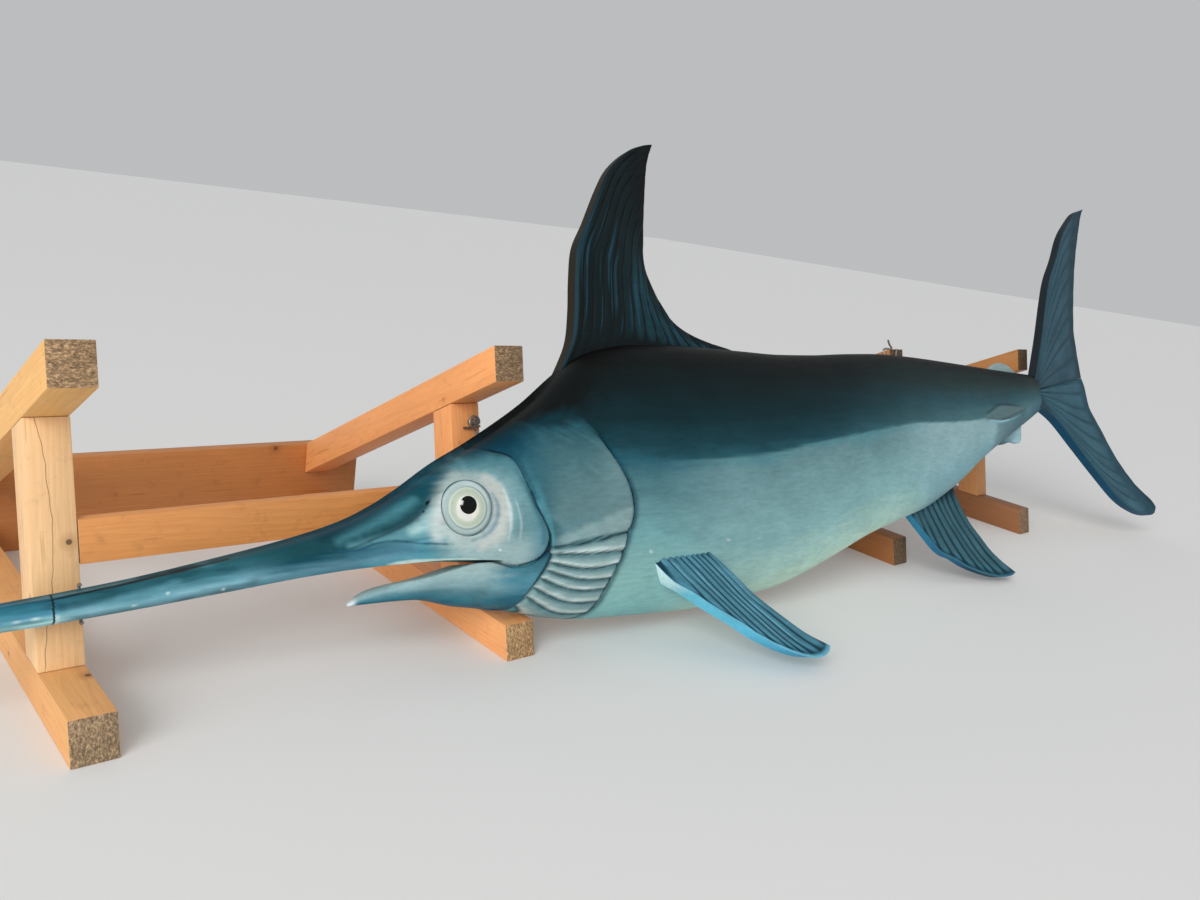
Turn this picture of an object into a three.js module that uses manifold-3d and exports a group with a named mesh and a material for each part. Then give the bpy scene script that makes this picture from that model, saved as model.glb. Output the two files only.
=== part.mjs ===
import * as THREE from 'three';
import { mergeVertices } from 'three/addons/utils/BufferGeometryUtils.js';
import Module from 'manifold-3d';

// A swordfish carved in wood as a half relief with a flat back, painted, and
// leaned on two timber racks. Millimetres, +Z up, X from bill to tail.
// The carving has its own frame: x toward the tail, z up its flat back, and
// depth measured from the back toward the painted face, which looks along -y.

const wasm = await Module();
wasm.setup();

// Clearance between pieces that touch
const GAP = 0.3;

// Rack timbers, seen from the end of the fish
const TIMBER = 38;
const CUT_LEAN = THREE.MathUtils.degToRad(15);
const ARM_SLOPE = THREE.MathUtils.degToRad(28);
const FRAME_LEFT = [0, 430, 1195, 1629];
const FRAME_RISE = [0, 0, 3, 7];
const FOOT_LENGTH = 494;
const POST_FRONT = 98.5;
const ARM_FRONT = { y: 76, z: 291.5 };
const RAIL = { bottom: 123.5, thickness: 12 };
const BOARD = { overhang: 42, thickness: 19, height: 111 };

// Place of the carving on the racks
const LEAN = THREE.MathUtils.degToRad(23.2);
const YAW = THREE.MathUtils.degToRad(5.7);
const CARVING_AT = new THREE.Vector3(455.3, 110.1, 214.4);

// Outline of bill, head, body and tail stalk, as x and z
const BILL_TIP = -690;
const STALK_END = 1130;
const MOUTH = { front: -186, corner: -38, drop: 48.5, curve: 1.3 };
const BACK_LINE = [
  [-690, -139.5], [-480, -121.4], [-400, -113.8], [-300, -99.3], [-220, -84.5], [-183, -74.8],
  [-150, -61.5], [-125, -48.5], [-80, -22], [-40, -2.7], [0, 18.5], [40, 42], [85, 74],
  [116, 94], [150, 106], [190, 112], [250, 114], [320, 112], [385, 109.5], [450, 107], [520, 108],
  [603, 112], [680, 114], [739, 112.4], [800, 109.1], [853, 105.5], [929, 100], [1006, 94.4],
  [1060, 91], [1130, 88],
];
const LIP_LINE = [
  [-690, -144.5], [-580, -147.5], [-480, -145.3], [-400, -140.8], [-300, -133.1], [-220, -126.8],
  [-160, -124.5], [-104, -124.9], [-60, -128.6], [-38, -131.5],
];
const THROAT_LINE = [
  [-38, -180], [0, -189], [40, -200.3], [85, -208.1], [140, -212.2], [192, -215.2], [250, -217.5],
  [320, -213.6], [385, -208.1], [450, -195.6], [520, -176.8], [603, -154], [700, -134.7],
  [739, -126.9], [800, -106.9], [853, -86], [890, -68], [929, -50.3], [978, -30.6], [1050, -3],
  [1110, 18], [1130, 24],
];
const RELIEF_LINE = [
  [-690, 7], [-480, 21], [-300, 34], [-180, 45], [-68, 62], [60, 80], [150, 87], [250, 90],
  [400, 86], [550, 77], [700, 64], [850, 49], [950, 40], [1080, 29], [1130, 17],
];
const EDGE_WALL = 14;
const EDGE_SHARE = 0.45;
const BACK_BEVEL = { slope: 0.6, most: 8 };
const TOP_BEVEL = [[-690, 2], [-300, 3], [-150, 4], [-60, 7], [50, 7], [110, 0], [1130, 0]];
const SECTION_POWER = 2.4;
const SECTION_STEPS = 14;

// Cuts between the named lengths of the body
const CUTS = { bill: -200, gill: 132, middle: 400, rear: 700, stalk: 940 };

// Lower jaw, open under the bill
const JAW_TOP = [[-181, -158], [-172, -151.5], [-158, -146.5], [-106, -140], [-38, -133], [-10, -128]];
const JAW_BOTTOM = [[-181, -160.5], [-142, -161], [-109, -163], [-65, -175], [-38, -182], [-10, -188]];
const JAW_RELIEF = [[-181, 8], [-150, 24], [-100, 46], [-38, 69], [-10, 73]];
const JAW_BLEND = { from: -150, to: -38 };

// Plates raised on the head, as outlines and heights
const CHEEK_RAISE = [[-700, 1.2], [-110, 1.2], [-20, 6], [1200, 6]];
const CHEEK = [
  [-45, -10], [-29, -16], [-10, -28], [2, -72], [12, -93], [17, -110], [13, -127], [0, -135],
  [-21, -139], [-44, -133], [-80, -127], [-108, -110], [-112, -84], [-104, -60], [-78, -32],
];
const COVER_RAISE = [[-700, 1.5], [5, 1.5], [80, 6], [1200, 6]];
const COVER = [
  [75, 15], [88, 3], [102, -23], [113, -42], [122, -61], [126, -81], [125, -99], [118, -113],
  [100, -118], [74, -121], [49, -123], [25, -123], [24, -108], [13, -70], [3, -30], [30, 6],
];
const JAW_RAISE = 4;
const JAW_PLATE = [
  [-39, -135], [-21, -142], [0, -138], [16, -128], [20, -130], [16, -141], [5, -157],
  [-3, -168], [-9, -179], [-14, -192], [-39, -192],
];
const PLATE_GROOVE = 1.2;

// Gill strips under the cover: left and right ends of the line above each strip
const STRIP_LINES = [
  { left: [25, -125], dip: -2, right: [120, -116] }, { left: [22, -131], dip: 2, right: [114, -135] },
  { left: [20, -140], dip: 6, right: [107, -149] }, { left: [15, -147], dip: 6, right: [98, -164] },
  { left: [9, -155], dip: 7, right: [91, -175] }, { left: [3, -164], dip: 8, right: [86, -188] },
  { left: [-2, -173], dip: 8, right: [78, -200] }, { left: [-9, -182], dip: 6, right: [60, -208] },
];
const STRIP_GROOVE = 3;
const STRIP_RAISE = 5.5;
const STRIP_BED = 1.5;

// Eye disc let into the cheek
const EYE = { x: -66.5, z: -74.5, radius: 27.2, taller: 1.06, turn: THREE.MathUtils.degToRad(12),
  seat: 50, bottom: -22 };
const PUPIL = { radius: 8.9, behind: 0.7, above: 2.6, from: 11, to: 15.5 };

// Fins, as outlines in x and z, with their thickness
const FIN_EDGE = 14;
const RIDGE = 2.5;
const RIDGE_FADE = 6;
const DORSAL = {
  root: [[93, 76], [120, 90], [180, 104], [250, 106], [320, 104], [372, 101]],
  lead: [[93, 76], [116, 115], [126, 155], [132, 195], [141, 235], [161, 269], [187, 315],
    [208, 345], [237, 369], [264, 381], [281, 385]],
  rear: [[281, 385], [268, 355], [257, 301], [249, 252], [246, 226], [251, 204], [263, 178],
    [284, 149], [310, 134], [340, 124], [385, 114]],
  rays: 14,
  steps: 14,
  crowding: 1.6,
};
const UPPER_LOBE = {
  root: [[1118, 80], [1118, 61]],
  lead: [[1118, 80], [1127, 93], [1165, 163], [1195, 224], [1221, 271], [1258, 316], [1291, 361],
    [1324, 390], [1358, 414], [1391, 425]],
  rear: [[1391, 425], [1380, 416], [1360, 380], [1330, 315], [1308, 251], [1290, 181],
    [1289, 144], [1291, 101], [1294, 80], [1300, 68]],
  rays: 9,
  steps: 12,
  crowding: 1.1,
};
const LOWER_LOBE = {
  root: [[1118, 60.6], [1118, 32]],
  lead: [[1118, 32], [1142, 24], [1179, 2], [1227, -40], [1290, -95], [1357, -149], [1416, -176],
    [1461, -186], [1488, -184], [1499, -172]],
  rear: [[1300, 67.6], [1305, 29], [1334, -13], [1375, -70], [1429, -122], [1482, -156], [1499, -172]],
  rays: 9,
  steps: 12,
  crowding: 1.1,
};

// The two low fins stand out from the back board: depth at a point is
// offset + alongX * x + alongZ * z on their ridged face
const PECTORAL = {
  root: [[160, -138], [195, -128], [238, -132]],
  lead: [[154, -145], [158, -154], [163, -166], [171, -179], [188, -193], [209, -214], [230, -232],
    [253, -254], [279, -271], [305, -281], [326, -280], [338, -272]],
  rear: [[238, -132], [241, -149], [250, -164], [260, -183], [271, -204], [294, -233], [314, -255],
    [338, -272]],
  face: { offset: -26, alongX: 0.058, alongZ: -0.63 },
  thickness: 30,
  rays: 7,
  steps: 10,
  crowding: 1,
};
const ANAL = {
  root: [[712, -118], [775, -100], [836, -90]],
  lead: [[706, -126], [713, -136], [722, -152], [733, -171], [744, -189], [757, -200], [773, -207],
    [795, -221], [825, -234], [862, -244.5], [893, -246], [909, -242]],
  rear: [[836, -90], [833, -113], [835, -133], [842, -157], [854, -179], [867, -202],
    [886, -223], [909, -242]],
  face: { offset: -41.5, alongX: 0.0406, alongZ: -0.267 },
  thickness: 16,
  rays: 8,
  steps: 10,
  crowding: 1,
};
const SECOND_DORSAL = [[990, 88], [999, 101], [1024, 110], [1046, 108], [1062, 102], [1072, 88]];
const SECOND_ANAL = [[978, -24], [1052, 4], [1056, -9], [1047, -31], [1018, -29], [990, -33]];
const SMALL_FIN_DEPTH = { dorsal: [0.5, 7], anal: [6, 14] };
const KEEL = [[900, 8], [933, 23], [962, 31], [1020, 29], [1056, 28], [1007, 15], [962, 5]];
const KEEL_RAISE = [[-700, 5], [1200, 5]];

// Metal that ties the carving to the racks
const WIRE = 3;
const WIRE_SIDES = 8;
const BOLT = { radius: 4, length: 14, z: 228, from: 25 };
const NAIL = { thickness: 2.6, out: 2.2, bends: [[-11, -6], [-4, -6.5], [4, -6], [12, -5]] };
const AT_POST = { x: -419 };
const AT_ARM = { x: 752, heights: [114, 104, 92, 80] };

// Line drawn evenly through a few points, without overshoot
function smooth(points) {
  const steps = points.slice(1).map((p, i) => p[0] - points[i][0]);
  const slopes = points.slice(1).map((p, i) => (p[1] - points[i][1]) / steps[i]);
  const tangent = points.map((_, i) => {
    if (i === 0) return slopes[0];
    if (i === points.length - 1) return slopes[i - 1];
    if (slopes[i - 1] * slopes[i] <= 0) return 0;
    const total = steps[i - 1] + steps[i];
    const before = (total + steps[i]) / slopes[i - 1];
    const after = (total + steps[i - 1]) / slopes[i];
    return (3 * total) / (before + after);
  });
  return (x) => {
    let i = 0;
    while (i < steps.length - 1 && x > points[i + 1][0]) i += 1;
    const t = THREE.MathUtils.clamp((x - points[i][0]) / steps[i], 0, 1);
    const a = points[i][1] * (1 + 2 * t) * (1 - t) ** 2;
    const b = points[i + 1][1] * t ** 2 * (3 - 2 * t);
    const c = tangent[i] * steps[i] * t * (1 - t) ** 2;
    const d = tangent[i + 1] * steps[i] * t ** 2 * (t - 1);
    return a + b + c + d;
  };
}

const endOf = (list) => list[list.length - 1];
const curve = (points) => new THREE.SplineCurve(points.map(([x, z]) => new THREE.Vector2(x, z)));

// Closed solid from a mesh, and a mesh from the largest body of a solid
function solidOf(geometry) {
  const bare = geometry.clone();
  bare.deleteAttribute('normal');
  bare.deleteAttribute('uv');
  const merged = mergeVertices(bare, 1e-4);
  const vertProperties = new Float32Array(merged.attributes.position.array);
  const triVerts = new Uint32Array(merged.index.array);
  const solid = new wasm.Manifold(new wasm.Mesh({ numProp: 3, vertProperties, triVerts }));
  if (solid.volume() > 0) return solid;
  const outward = triVerts.slice().reverse();
  return new wasm.Manifold(new wasm.Mesh({ numProp: 3, vertProperties, triVerts: outward }));
}

function geometryOf(solid) {
  const bodies = solid.decompose();
  const largest = bodies.reduce((a, b) => (a.volume() > b.volume() ? a : b));
  const mesh = largest.getMesh();
  const geometry = new THREE.BufferGeometry();
  geometry.setAttribute('position', new THREE.BufferAttribute(mesh.vertProperties, 3));
  geometry.setIndex(new THREE.BufferAttribute(mesh.triVerts, 1));
  geometry.computeVertexNormals();
  return geometry;
}

// Closed mesh through rings of equal length, capped at both ends
function throughRings(rings) {
  const count = rings[0].length;
  const index = [];
  for (let r = 0; r < rings.length - 1; r += 1) {
    for (let k = 0; k < count; k += 1) {
      const a = r * count + k;
      const b = r * count + ((k + 1) % count);
      index.push(a, a + count, b, b, a + count, b + count);
    }
  }
  const last = (rings.length - 1) * count;
  for (let k = 1; k < count - 1; k += 1) {
    index.push(0, k, k + 1);
    index.push(last, last + k + 1, last + k);
  }
  const geometry = new THREE.BufferGeometry();
  geometry.setAttribute('position', new THREE.Float32BufferAttribute(rings.flat(2), 3));
  geometry.setIndex(index);
  return geometry;
}

// Half-relief section at one x: flat back, edge walls and a crowned face
function section(x, top, bottom, relief, bevel) {
  const wall = Math.min(EDGE_WALL, EDGE_SHARE * relief);
  const high = top - bevel;
  const middle = (high + bottom) / 2;
  const half = (high - bottom) / 2;
  const inset = Math.min(BACK_BEVEL.most, BACK_BEVEL.slope * wall);
  const ring = [[x, 0, bottom + inset], [x, 0, top - inset], [x, -inset, top]];
  for (let k = 0; k <= SECTION_STEPS; k += 1) {
    const angle = Math.PI * (0.5 - k / SECTION_STEPS);
    const across = Math.sign(Math.sin(angle)) * Math.abs(Math.sin(angle)) ** (2 / SECTION_POWER);
    const crown = Math.abs(Math.cos(angle)) ** (2 / SECTION_POWER);
    ring.push([x, -(wall + (relief - wall) * crown), middle + half * across]);
  }
  ring.push([x, -inset, bottom]);
  return ring;
}

function spread(from, to, count) {
  return Array.from({ length: count + 1 }, (_, i) => from + ((to - from) * i) / count);
}

const backAt = smooth(BACK_LINE);
const lipAt = smooth(LIP_LINE);
const throatAt = smooth(THROAT_LINE);
const reliefAt = smooth(RELIEF_LINE);
const bevelAt = smooth(TOP_BEVEL);

// Underside of the bill, the head over the mouth and the belly
function lowAt(x) {
  if (x >= MOUTH.corner) return throatAt(x);
  const open = Math.max(0, (x - MOUTH.front) / (MOUTH.corner - MOUTH.front));
  return lipAt(x) - MOUTH.drop * open ** MOUTH.curve;
}

// Space between the upper lip and the lower jaw
function mouthSolid(clear) {
  const lip = spread(MOUTH.front + 16, MOUTH.corner - clear, 9).map((x) => [x, lipAt(x) - clear]);
  const start = [MOUTH.front, lipAt(MOUTH.front) - 1 - clear];
  return prism([start, ...lip, [MOUTH.corner - clear, -260], [MOUTH.front, -260]], -20, 200, false);
}

// Whole body from bill tip to tail stalk, raised and widened by the given amounts
function bodySolid(raiseAt = () => 0, wider = 0) {
  const stations = [...spread(BILL_TIP, MOUTH.front, 12), ...spread(-168, MOUTH.corner, 9),
    ...spread(-25, 132, 10), ...spread(155, STALK_END, 30)];
  const rings = stations.map((x) => {
    const top = backAt(x);
    const low = lowAt(x);
    const bevel = bevelAt(x) * Math.min(1, (top - low) / 30);
    return section(x, top + wider, low - wider, reliefAt(x) + raiseAt(x), bevel);
  });
  if (wider) {
    rings.unshift(rings[0].map(([x, y, z]) => [x - wider, y, z]));
    rings.push(endOf(rings).map(([x, y, z]) => [x + wider, y, z]));
  }
  return solidOf(throughRings(rings)).subtract(mouthSolid(wider));
}

// Part of a solid between two planes across the body
function slice(solid, from, to) {
  const block = new THREE.BoxGeometry(to - from - GAP, 400, 800);
  block.translate((from + to) / 2, 0, 0);
  return solid.intersect(solidOf(block));
}

// Upright prism over an outline, reaching from the back through the face
function prism(outline, from = -10, to = 200, rounded = true) {
  const points = outline.map(([x, z]) => new THREE.Vector2(x, z));
  const closed = new THREE.CatmullRomCurve3(points.map((p) => new THREE.Vector3(p.x, p.y, 0)), true);
  const ring = rounded ? closed.getPoints(outline.length * 3).slice(0, -1) : points;
  const shape = new THREE.Shape(ring.map((p) => new THREE.Vector2(p.x, p.y)));
  const geometry = new THREE.ExtrudeGeometry(shape, { depth: to - from, bevelEnabled: false, steps: 1 });
  geometry.rotateX(Math.PI / 2);
  geometry.translate(0, -from, 0);
  return solidOf(geometry);
}

// Plate of even height that follows the carved face inside an outline
function plate(outline, raise, bed) {
  const raiseAt = smooth(raise);
  return prism(outline).intersect(bodySolid((x) => raiseAt(x) + GAP)).subtract(bed);
}

// Room taken up by a plate with a groove behind it and below it
function roomFor(outline) {
  const behind = outline.map(([x, z]) => [x + PLATE_GROOVE, z]);
  const below = outline.map(([x, z]) => [x, z - PLATE_GROOVE]);
  return prism(outline).add(prism(behind)).add(prism(below));
}

// Cylinder whose axis points out of the painted face at the eye
function eyePlug(radius, inner, outer) {
  const plug = new THREE.CylinderGeometry(radius, radius, outer - inner, 40);
  plug.translate(0, (inner + outer) / 2, 0);
  return plug;
}

function atEye(geometry, offset = { behind: 0, above: 0 }) {
  const turned = geometry.clone();
  turned.rotateX(Math.PI);
  turned.scale(1, 1, EYE.taller);
  turned.translate(offset.behind, 0, offset.above);
  turned.rotateZ(-EYE.turn);
  turned.translate(EYE.x, -EYE.seat, EYE.z);
  return turned;
}

// Domed disc with a stepped iris and a groove round it
function eyeGeometry() {
  const profile = [
    [0, EYE.bottom], [EYE.radius, EYE.bottom], [EYE.radius, 8], [EYE.radius - 2, 10.5], [EYE.radius - 6, 11],
    [EYE.radius - 7.5, 12.5], [14, 13.8], [8, 14.6], [0, 15],
  ];
  return new THREE.LatheGeometry(profile.map(([r, y]) => new THREE.Vector2(r, y)), 40);
}

// Shape of a curve measured along and beside the line between its ends
function bow(path) {
  const start = path.getPointAt(0);
  const chord = path.getPointAt(1).sub(start);
  return (t) => {
    const offset = path.getPointAt(t).sub(start);
    return [offset.dot(chord) / chord.lengthSq(), chord.cross(offset) / chord.lengthSq()];
  };
}

// Point on the ray at s, whose shape blends from the first ray to the last
function rayPoint(edges, s, t, crowding) {
  const start = edges.root.getPointAt(s);
  const chord = edges.margin.getPointAt(s ** crowding).sub(start);
  const [alongFirst, besideFirst] = edges.first(t);
  const [alongLast, besideLast] = edges.last(t);
  const along = THREE.MathUtils.lerp(alongFirst, alongLast, s);
  const beside = THREE.MathUtils.lerp(besideFirst, besideLast, s);
  return [start.x + chord.x * along - chord.y * beside, start.y + chord.y * along + chord.x * beside];
}

// Fin board whose face is carved into ridges that run from root to margin
function finSolid(fin, edges, frontAt, backAtPoint) {
  const columns = 2 * fin.rays;
  const faces = [[], []];
  for (let i = 0; i <= columns; i += 1) {
    for (let j = 0; j <= fin.steps; j += 1) {
      const s = i / columns;
      const t = j / fin.steps;
      const [x, z] = rayPoint(edges, s, t, fin.crowding);
      const ridge = i % 2 === 0 ? 0 : RIDGE * Math.min(1, RIDGE_FADE * t, RIDGE_FADE * (1 - t) + 0.2);
      faces[0].push([x, -(frontAt(x, z, s, t) + ridge), z]);
      faces[1].push([x, -backAtPoint(x, z), z]);
    }
  }
  const row = fin.steps + 1;
  const size = faces[0].length;
  const index = [];
  for (let i = 0; i < columns; i += 1) {
    for (let j = 0; j < fin.steps; j += 1) {
      const a = i * row + j;
      const quad = [a, a + row, a + 1, a + 1, a + row, a + row + 1];
      index.push(...quad, ...quad.map((v) => v + size).reverse());
    }
  }
  const rim = [];
  for (let i = 0; i < columns; i += 1) rim.push(i * row);
  for (let j = 0; j < fin.steps; j += 1) rim.push(columns * row + j);
  for (let i = columns; i > 0; i -= 1) rim.push(i * row + fin.steps);
  for (let j = fin.steps; j > 0; j -= 1) rim.push(j);
  rim.forEach((a, k) => {
    const b = rim[(k + 1) % rim.length];
    index.push(b, a, a + size, b, a + size, b + size);
  });
  const geometry = new THREE.BufferGeometry();
  geometry.setAttribute('position', new THREE.Float32BufferAttribute(faces.flat(2), 3));
  geometry.setIndex(index);
  return solidOf(geometry);
}

function dorsalFin(bed) {
  const edges = {
    root: curve(DORSAL.root),
    margin: curve(DORSAL.rear),
    first: bow(curve(DORSAL.lead)),
    last: bow(curve([endOf(DORSAL.root), endOf(DORSAL.rear)])),
  };
  const front = (x, z, s, t) => FIN_EDGE + 4 * (1 - t) * (1 - s) - 4 * t * s;
  return finSolid(DORSAL, edges, front, () => 0).subtract(bed);
}

function upperLobe(bed) {
  const edges = {
    root: curve(UPPER_LOBE.root),
    margin: curve(UPPER_LOBE.rear),
    first: bow(curve(UPPER_LOBE.lead)),
    last: bow(curve([endOf(UPPER_LOBE.root), endOf(UPPER_LOBE.rear)])),
  };
  const front = (x, z, s, t) => FIN_EDGE + 3 * (1 - t) - 4 * t * s;
  return finSolid(UPPER_LOBE, edges, front, () => 0).subtract(bed);
}

// The lower lobe's first ray is the middle one, and its last is the leading edge
function lowerLobe(bed) {
  const edges = {
    root: curve(LOWER_LOBE.root),
    margin: curve(LOWER_LOBE.rear),
    first: bow(curve([LOWER_LOBE.root[0], LOWER_LOBE.rear[0]])),
    last: bow(curve(LOWER_LOBE.lead)),
  };
  const front = (x, z, s, t) => FIN_EDGE + 3 * (1 - t) - 4 * t * (1 - s);
  return finSolid(LOWER_LOBE, edges, front, () => 0).subtract(bed);
}

// Fin whose rays run beside its rear edge and end on its leading edge
function standingFin(fin, bed) {
  const face = (x, z) => fin.face.offset + fin.face.alongX * x + fin.face.alongZ * z;
  const edges = {
    root: curve(fin.root),
    margin: curve(fin.lead),
    first: bow(curve([fin.root[0], fin.lead[0]])),
    last: bow(curve(fin.rear)),
  };
  const front = (x, z) => face(x, z) - RIDGE;
  const back = (x, z) => face(x, z) - fin.thickness;
  return finSolid(fin, edges, front, back).subtract(bed);
}

function gillStrips(bed) {
  const points = STRIP_LINES.map(({ left, dip, right }) => spread(0, 1, 4).map((f) => {
    const x = left[0] + (right[0] - left[0]) * f;
    const z = left[1] + (right[1] - left[1]) * f - dip * Math.sin(Math.PI * f);
    return [x, z];
  }));
  const outline = [...points[0], ...points.slice(1, -1).map((p) => p[4]), ...points[7].slice().reverse(),
    ...points.slice(1, -1).map((p) => p[0]).reverse()];
  let strips = prism(outline, -10, 200, false).intersect(bodySolid(() => STRIP_BED + GAP));
  for (let k = 0; k < points.length - 1; k += 1) {
    const upper = points[k].map(([x, z]) => [x, z - STRIP_GROOVE / 2]);
    const lower = points[k + 1].map(([x, z]) => [x, z + STRIP_GROOVE / 2]).reverse();
    const end = [[upper[4][0] - 1, upper[4][1] - 4]];
    const strip = prism([...upper.slice(0, 4), ...end, ...lower], -10, 200, false);
    strips = strips.add(strip.intersect(bodySolid(() => STRIP_RAISE + GAP)));
  }
  return strips.subtract(bed);
}

// Jaw bone whose section grows into the head's own, with the plate at its angle
function lowerJaw(bed) {
  const topAt = smooth(JAW_TOP);
  const bottomAt = smooth(JAW_BOTTOM);
  const depthAt = smooth(JAW_RELIEF);
  const stations = spread(JAW_TOP[0][0], endOf(JAW_TOP)[0], 16);
  const rings = stations.map((x) => {
    const share = THREE.MathUtils.smoothstep(x, JAW_BLEND.from, JAW_BLEND.to);
    const top = THREE.MathUtils.lerp(topAt(x), backAt(x), share);
    return section(x, top, bottomAt(x), depthAt(x), 0);
  });
  const under = [...stations.map((x) => [x, topAt(x)]), [0, -260], [-190, -260]];
  const bone = solidOf(throughRings(rings)).intersect(prism(under, -10, 200, false));
  const angle = prism(JAW_PLATE, -10, 200, false).intersect(bodySolid(() => JAW_RAISE + GAP));
  return bone.add(angle).subtract(bed);
}

// Stick of the rack: its side view in y and z, drawn out along x
function stick(sideView, left, width) {
  const shape = new THREE.Shape(sideView.map(([y, z]) => new THREE.Vector2(y, z)));
  const geometry = new THREE.ExtrudeGeometry(shape, { depth: width, bevelEnabled: false, steps: 1 });
  const axes = [new THREE.Vector3(0, 1, 0), new THREE.Vector3(0, 0, 1), new THREE.Vector3(1, 0, 0)];
  geometry.applyMatrix4(new THREE.Matrix4().makeBasis(...axes));
  geometry.translate(left, 0, 0);
  return geometry;
}

const cutBack = Math.tan(CUT_LEAN);
const postFace = (z) => POST_FRONT + (z - TIMBER) * cutBack;
const armUnder = (y) => ARM_FRONT.z - (y - ARM_FRONT.y) * Math.tan(ARM_SLOPE);

// Side view of a stick, lifted as one piece
const lifted = (sideView, rise) => sideView.map(([y, z]) => [y, z + rise]);

function footView(rise) {
  const high = TIMBER + rise;
  return [[0, 0], [FOOT_LENGTH, 0], [FOOT_LENGTH, high], [high * cutBack, high]];
}

function postView() {
  const thick = TIMBER / Math.cos(CUT_LEAN);
  const low = TIMBER + GAP;
  const meet = (back) => {
    const base = POST_FRONT + back - TIMBER * cutBack;
    const rise = Math.tan(ARM_SLOPE);
    const z = (ARM_FRONT.z - GAP + (ARM_FRONT.y - base) * rise) / (1 + cutBack * rise);
    return [base + z * cutBack, z];
  };
  return [[postFace(low), low], [postFace(low) + thick, low], meet(thick), meet(0)];
}

// Upper corner of an arm's front end
function armNose() {
  const shift = TIMBER / (Math.cos(ARM_SLOPE) / cutBack + Math.sin(ARM_SLOPE));
  const y = ARM_FRONT.y + shift;
  return { y, z: armUnder(y) + TIMBER / Math.cos(ARM_SLOPE) };
}

function armView() {
  const nose = armNose();
  const back = armUnder(FOOT_LENGTH);
  return [[ARM_FRONT.y, ARM_FRONT.z], [FOOT_LENGTH, back],
    [FOOT_LENGTH, back + TIMBER / Math.cos(ARM_SLOPE)], [nose.y, nose.z]];
}

function railView() {
  const top = RAIL.bottom + TIMBER;
  const front = [postFace(RAIL.bottom), postFace(top)];
  return [[front[0], RAIL.bottom], [front[0] + RAIL.thickness, RAIL.bottom],
    [front[1] + RAIL.thickness, top], [front[1], top]];
}

function boardView() {
  const front = FOOT_LENGTH + GAP;
  return [[front, 0], [front + BOARD.thickness, 0], [front + BOARD.thickness, BOARD.height],
    [front, BOARD.height]];
}

// Round wire along a smooth path of points
function wireGeometry(points, thickness) {
  const path = new THREE.CatmullRomCurve3(points.map((p) => new THREE.Vector3(...p)));
  const ring = Array.from({ length: WIRE_SIDES }, (_, k) => {
    const angle = (2 * Math.PI * k) / WIRE_SIDES;
    return new THREE.Vector2(Math.cos(angle), Math.sin(angle)).multiplyScalar(thickness / 2);
  });
  const steps = (points.length - 1) * 4;
  const shape = new THREE.Shape(ring);
  return new THREE.ExtrudeGeometry(shape, { steps, extrudePath: path, bevelEnabled: false });
}

// Paints, woods and metals
const coat = (color, roughness, metalness = 0) => {
  return new THREE.MeshStandardMaterial({ color, roughness, metalness });
};
const paint = (color, roughness = 0.45) => coat(color, roughness);
const navyBack = () => paint('#1c2a31');
const tealFlank = () => paint('#3d7f93');
const paleHead = () => paint('#9fb4bb');
const strips = () => paint('#a9babc');
const finTeal = () => paint('#2f6a80');
const jawBlue = () => paint('#7aa6b4');
const ivory = () => paint('#dfe2cf', 0.35);
const pupilBlack = () => paint('#15181a', 0.3);
const skyEdge = () => paint('#6fb6d2');
const pine = () => coat('#c98a4e', 0.75);
const steel = () => coat('#6f6c66', 0.4, 0.8);

function named(name, geometry, material) {
  const mesh = new THREE.Mesh(geometry, material);
  mesh.name = name;
  return mesh;
}

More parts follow.
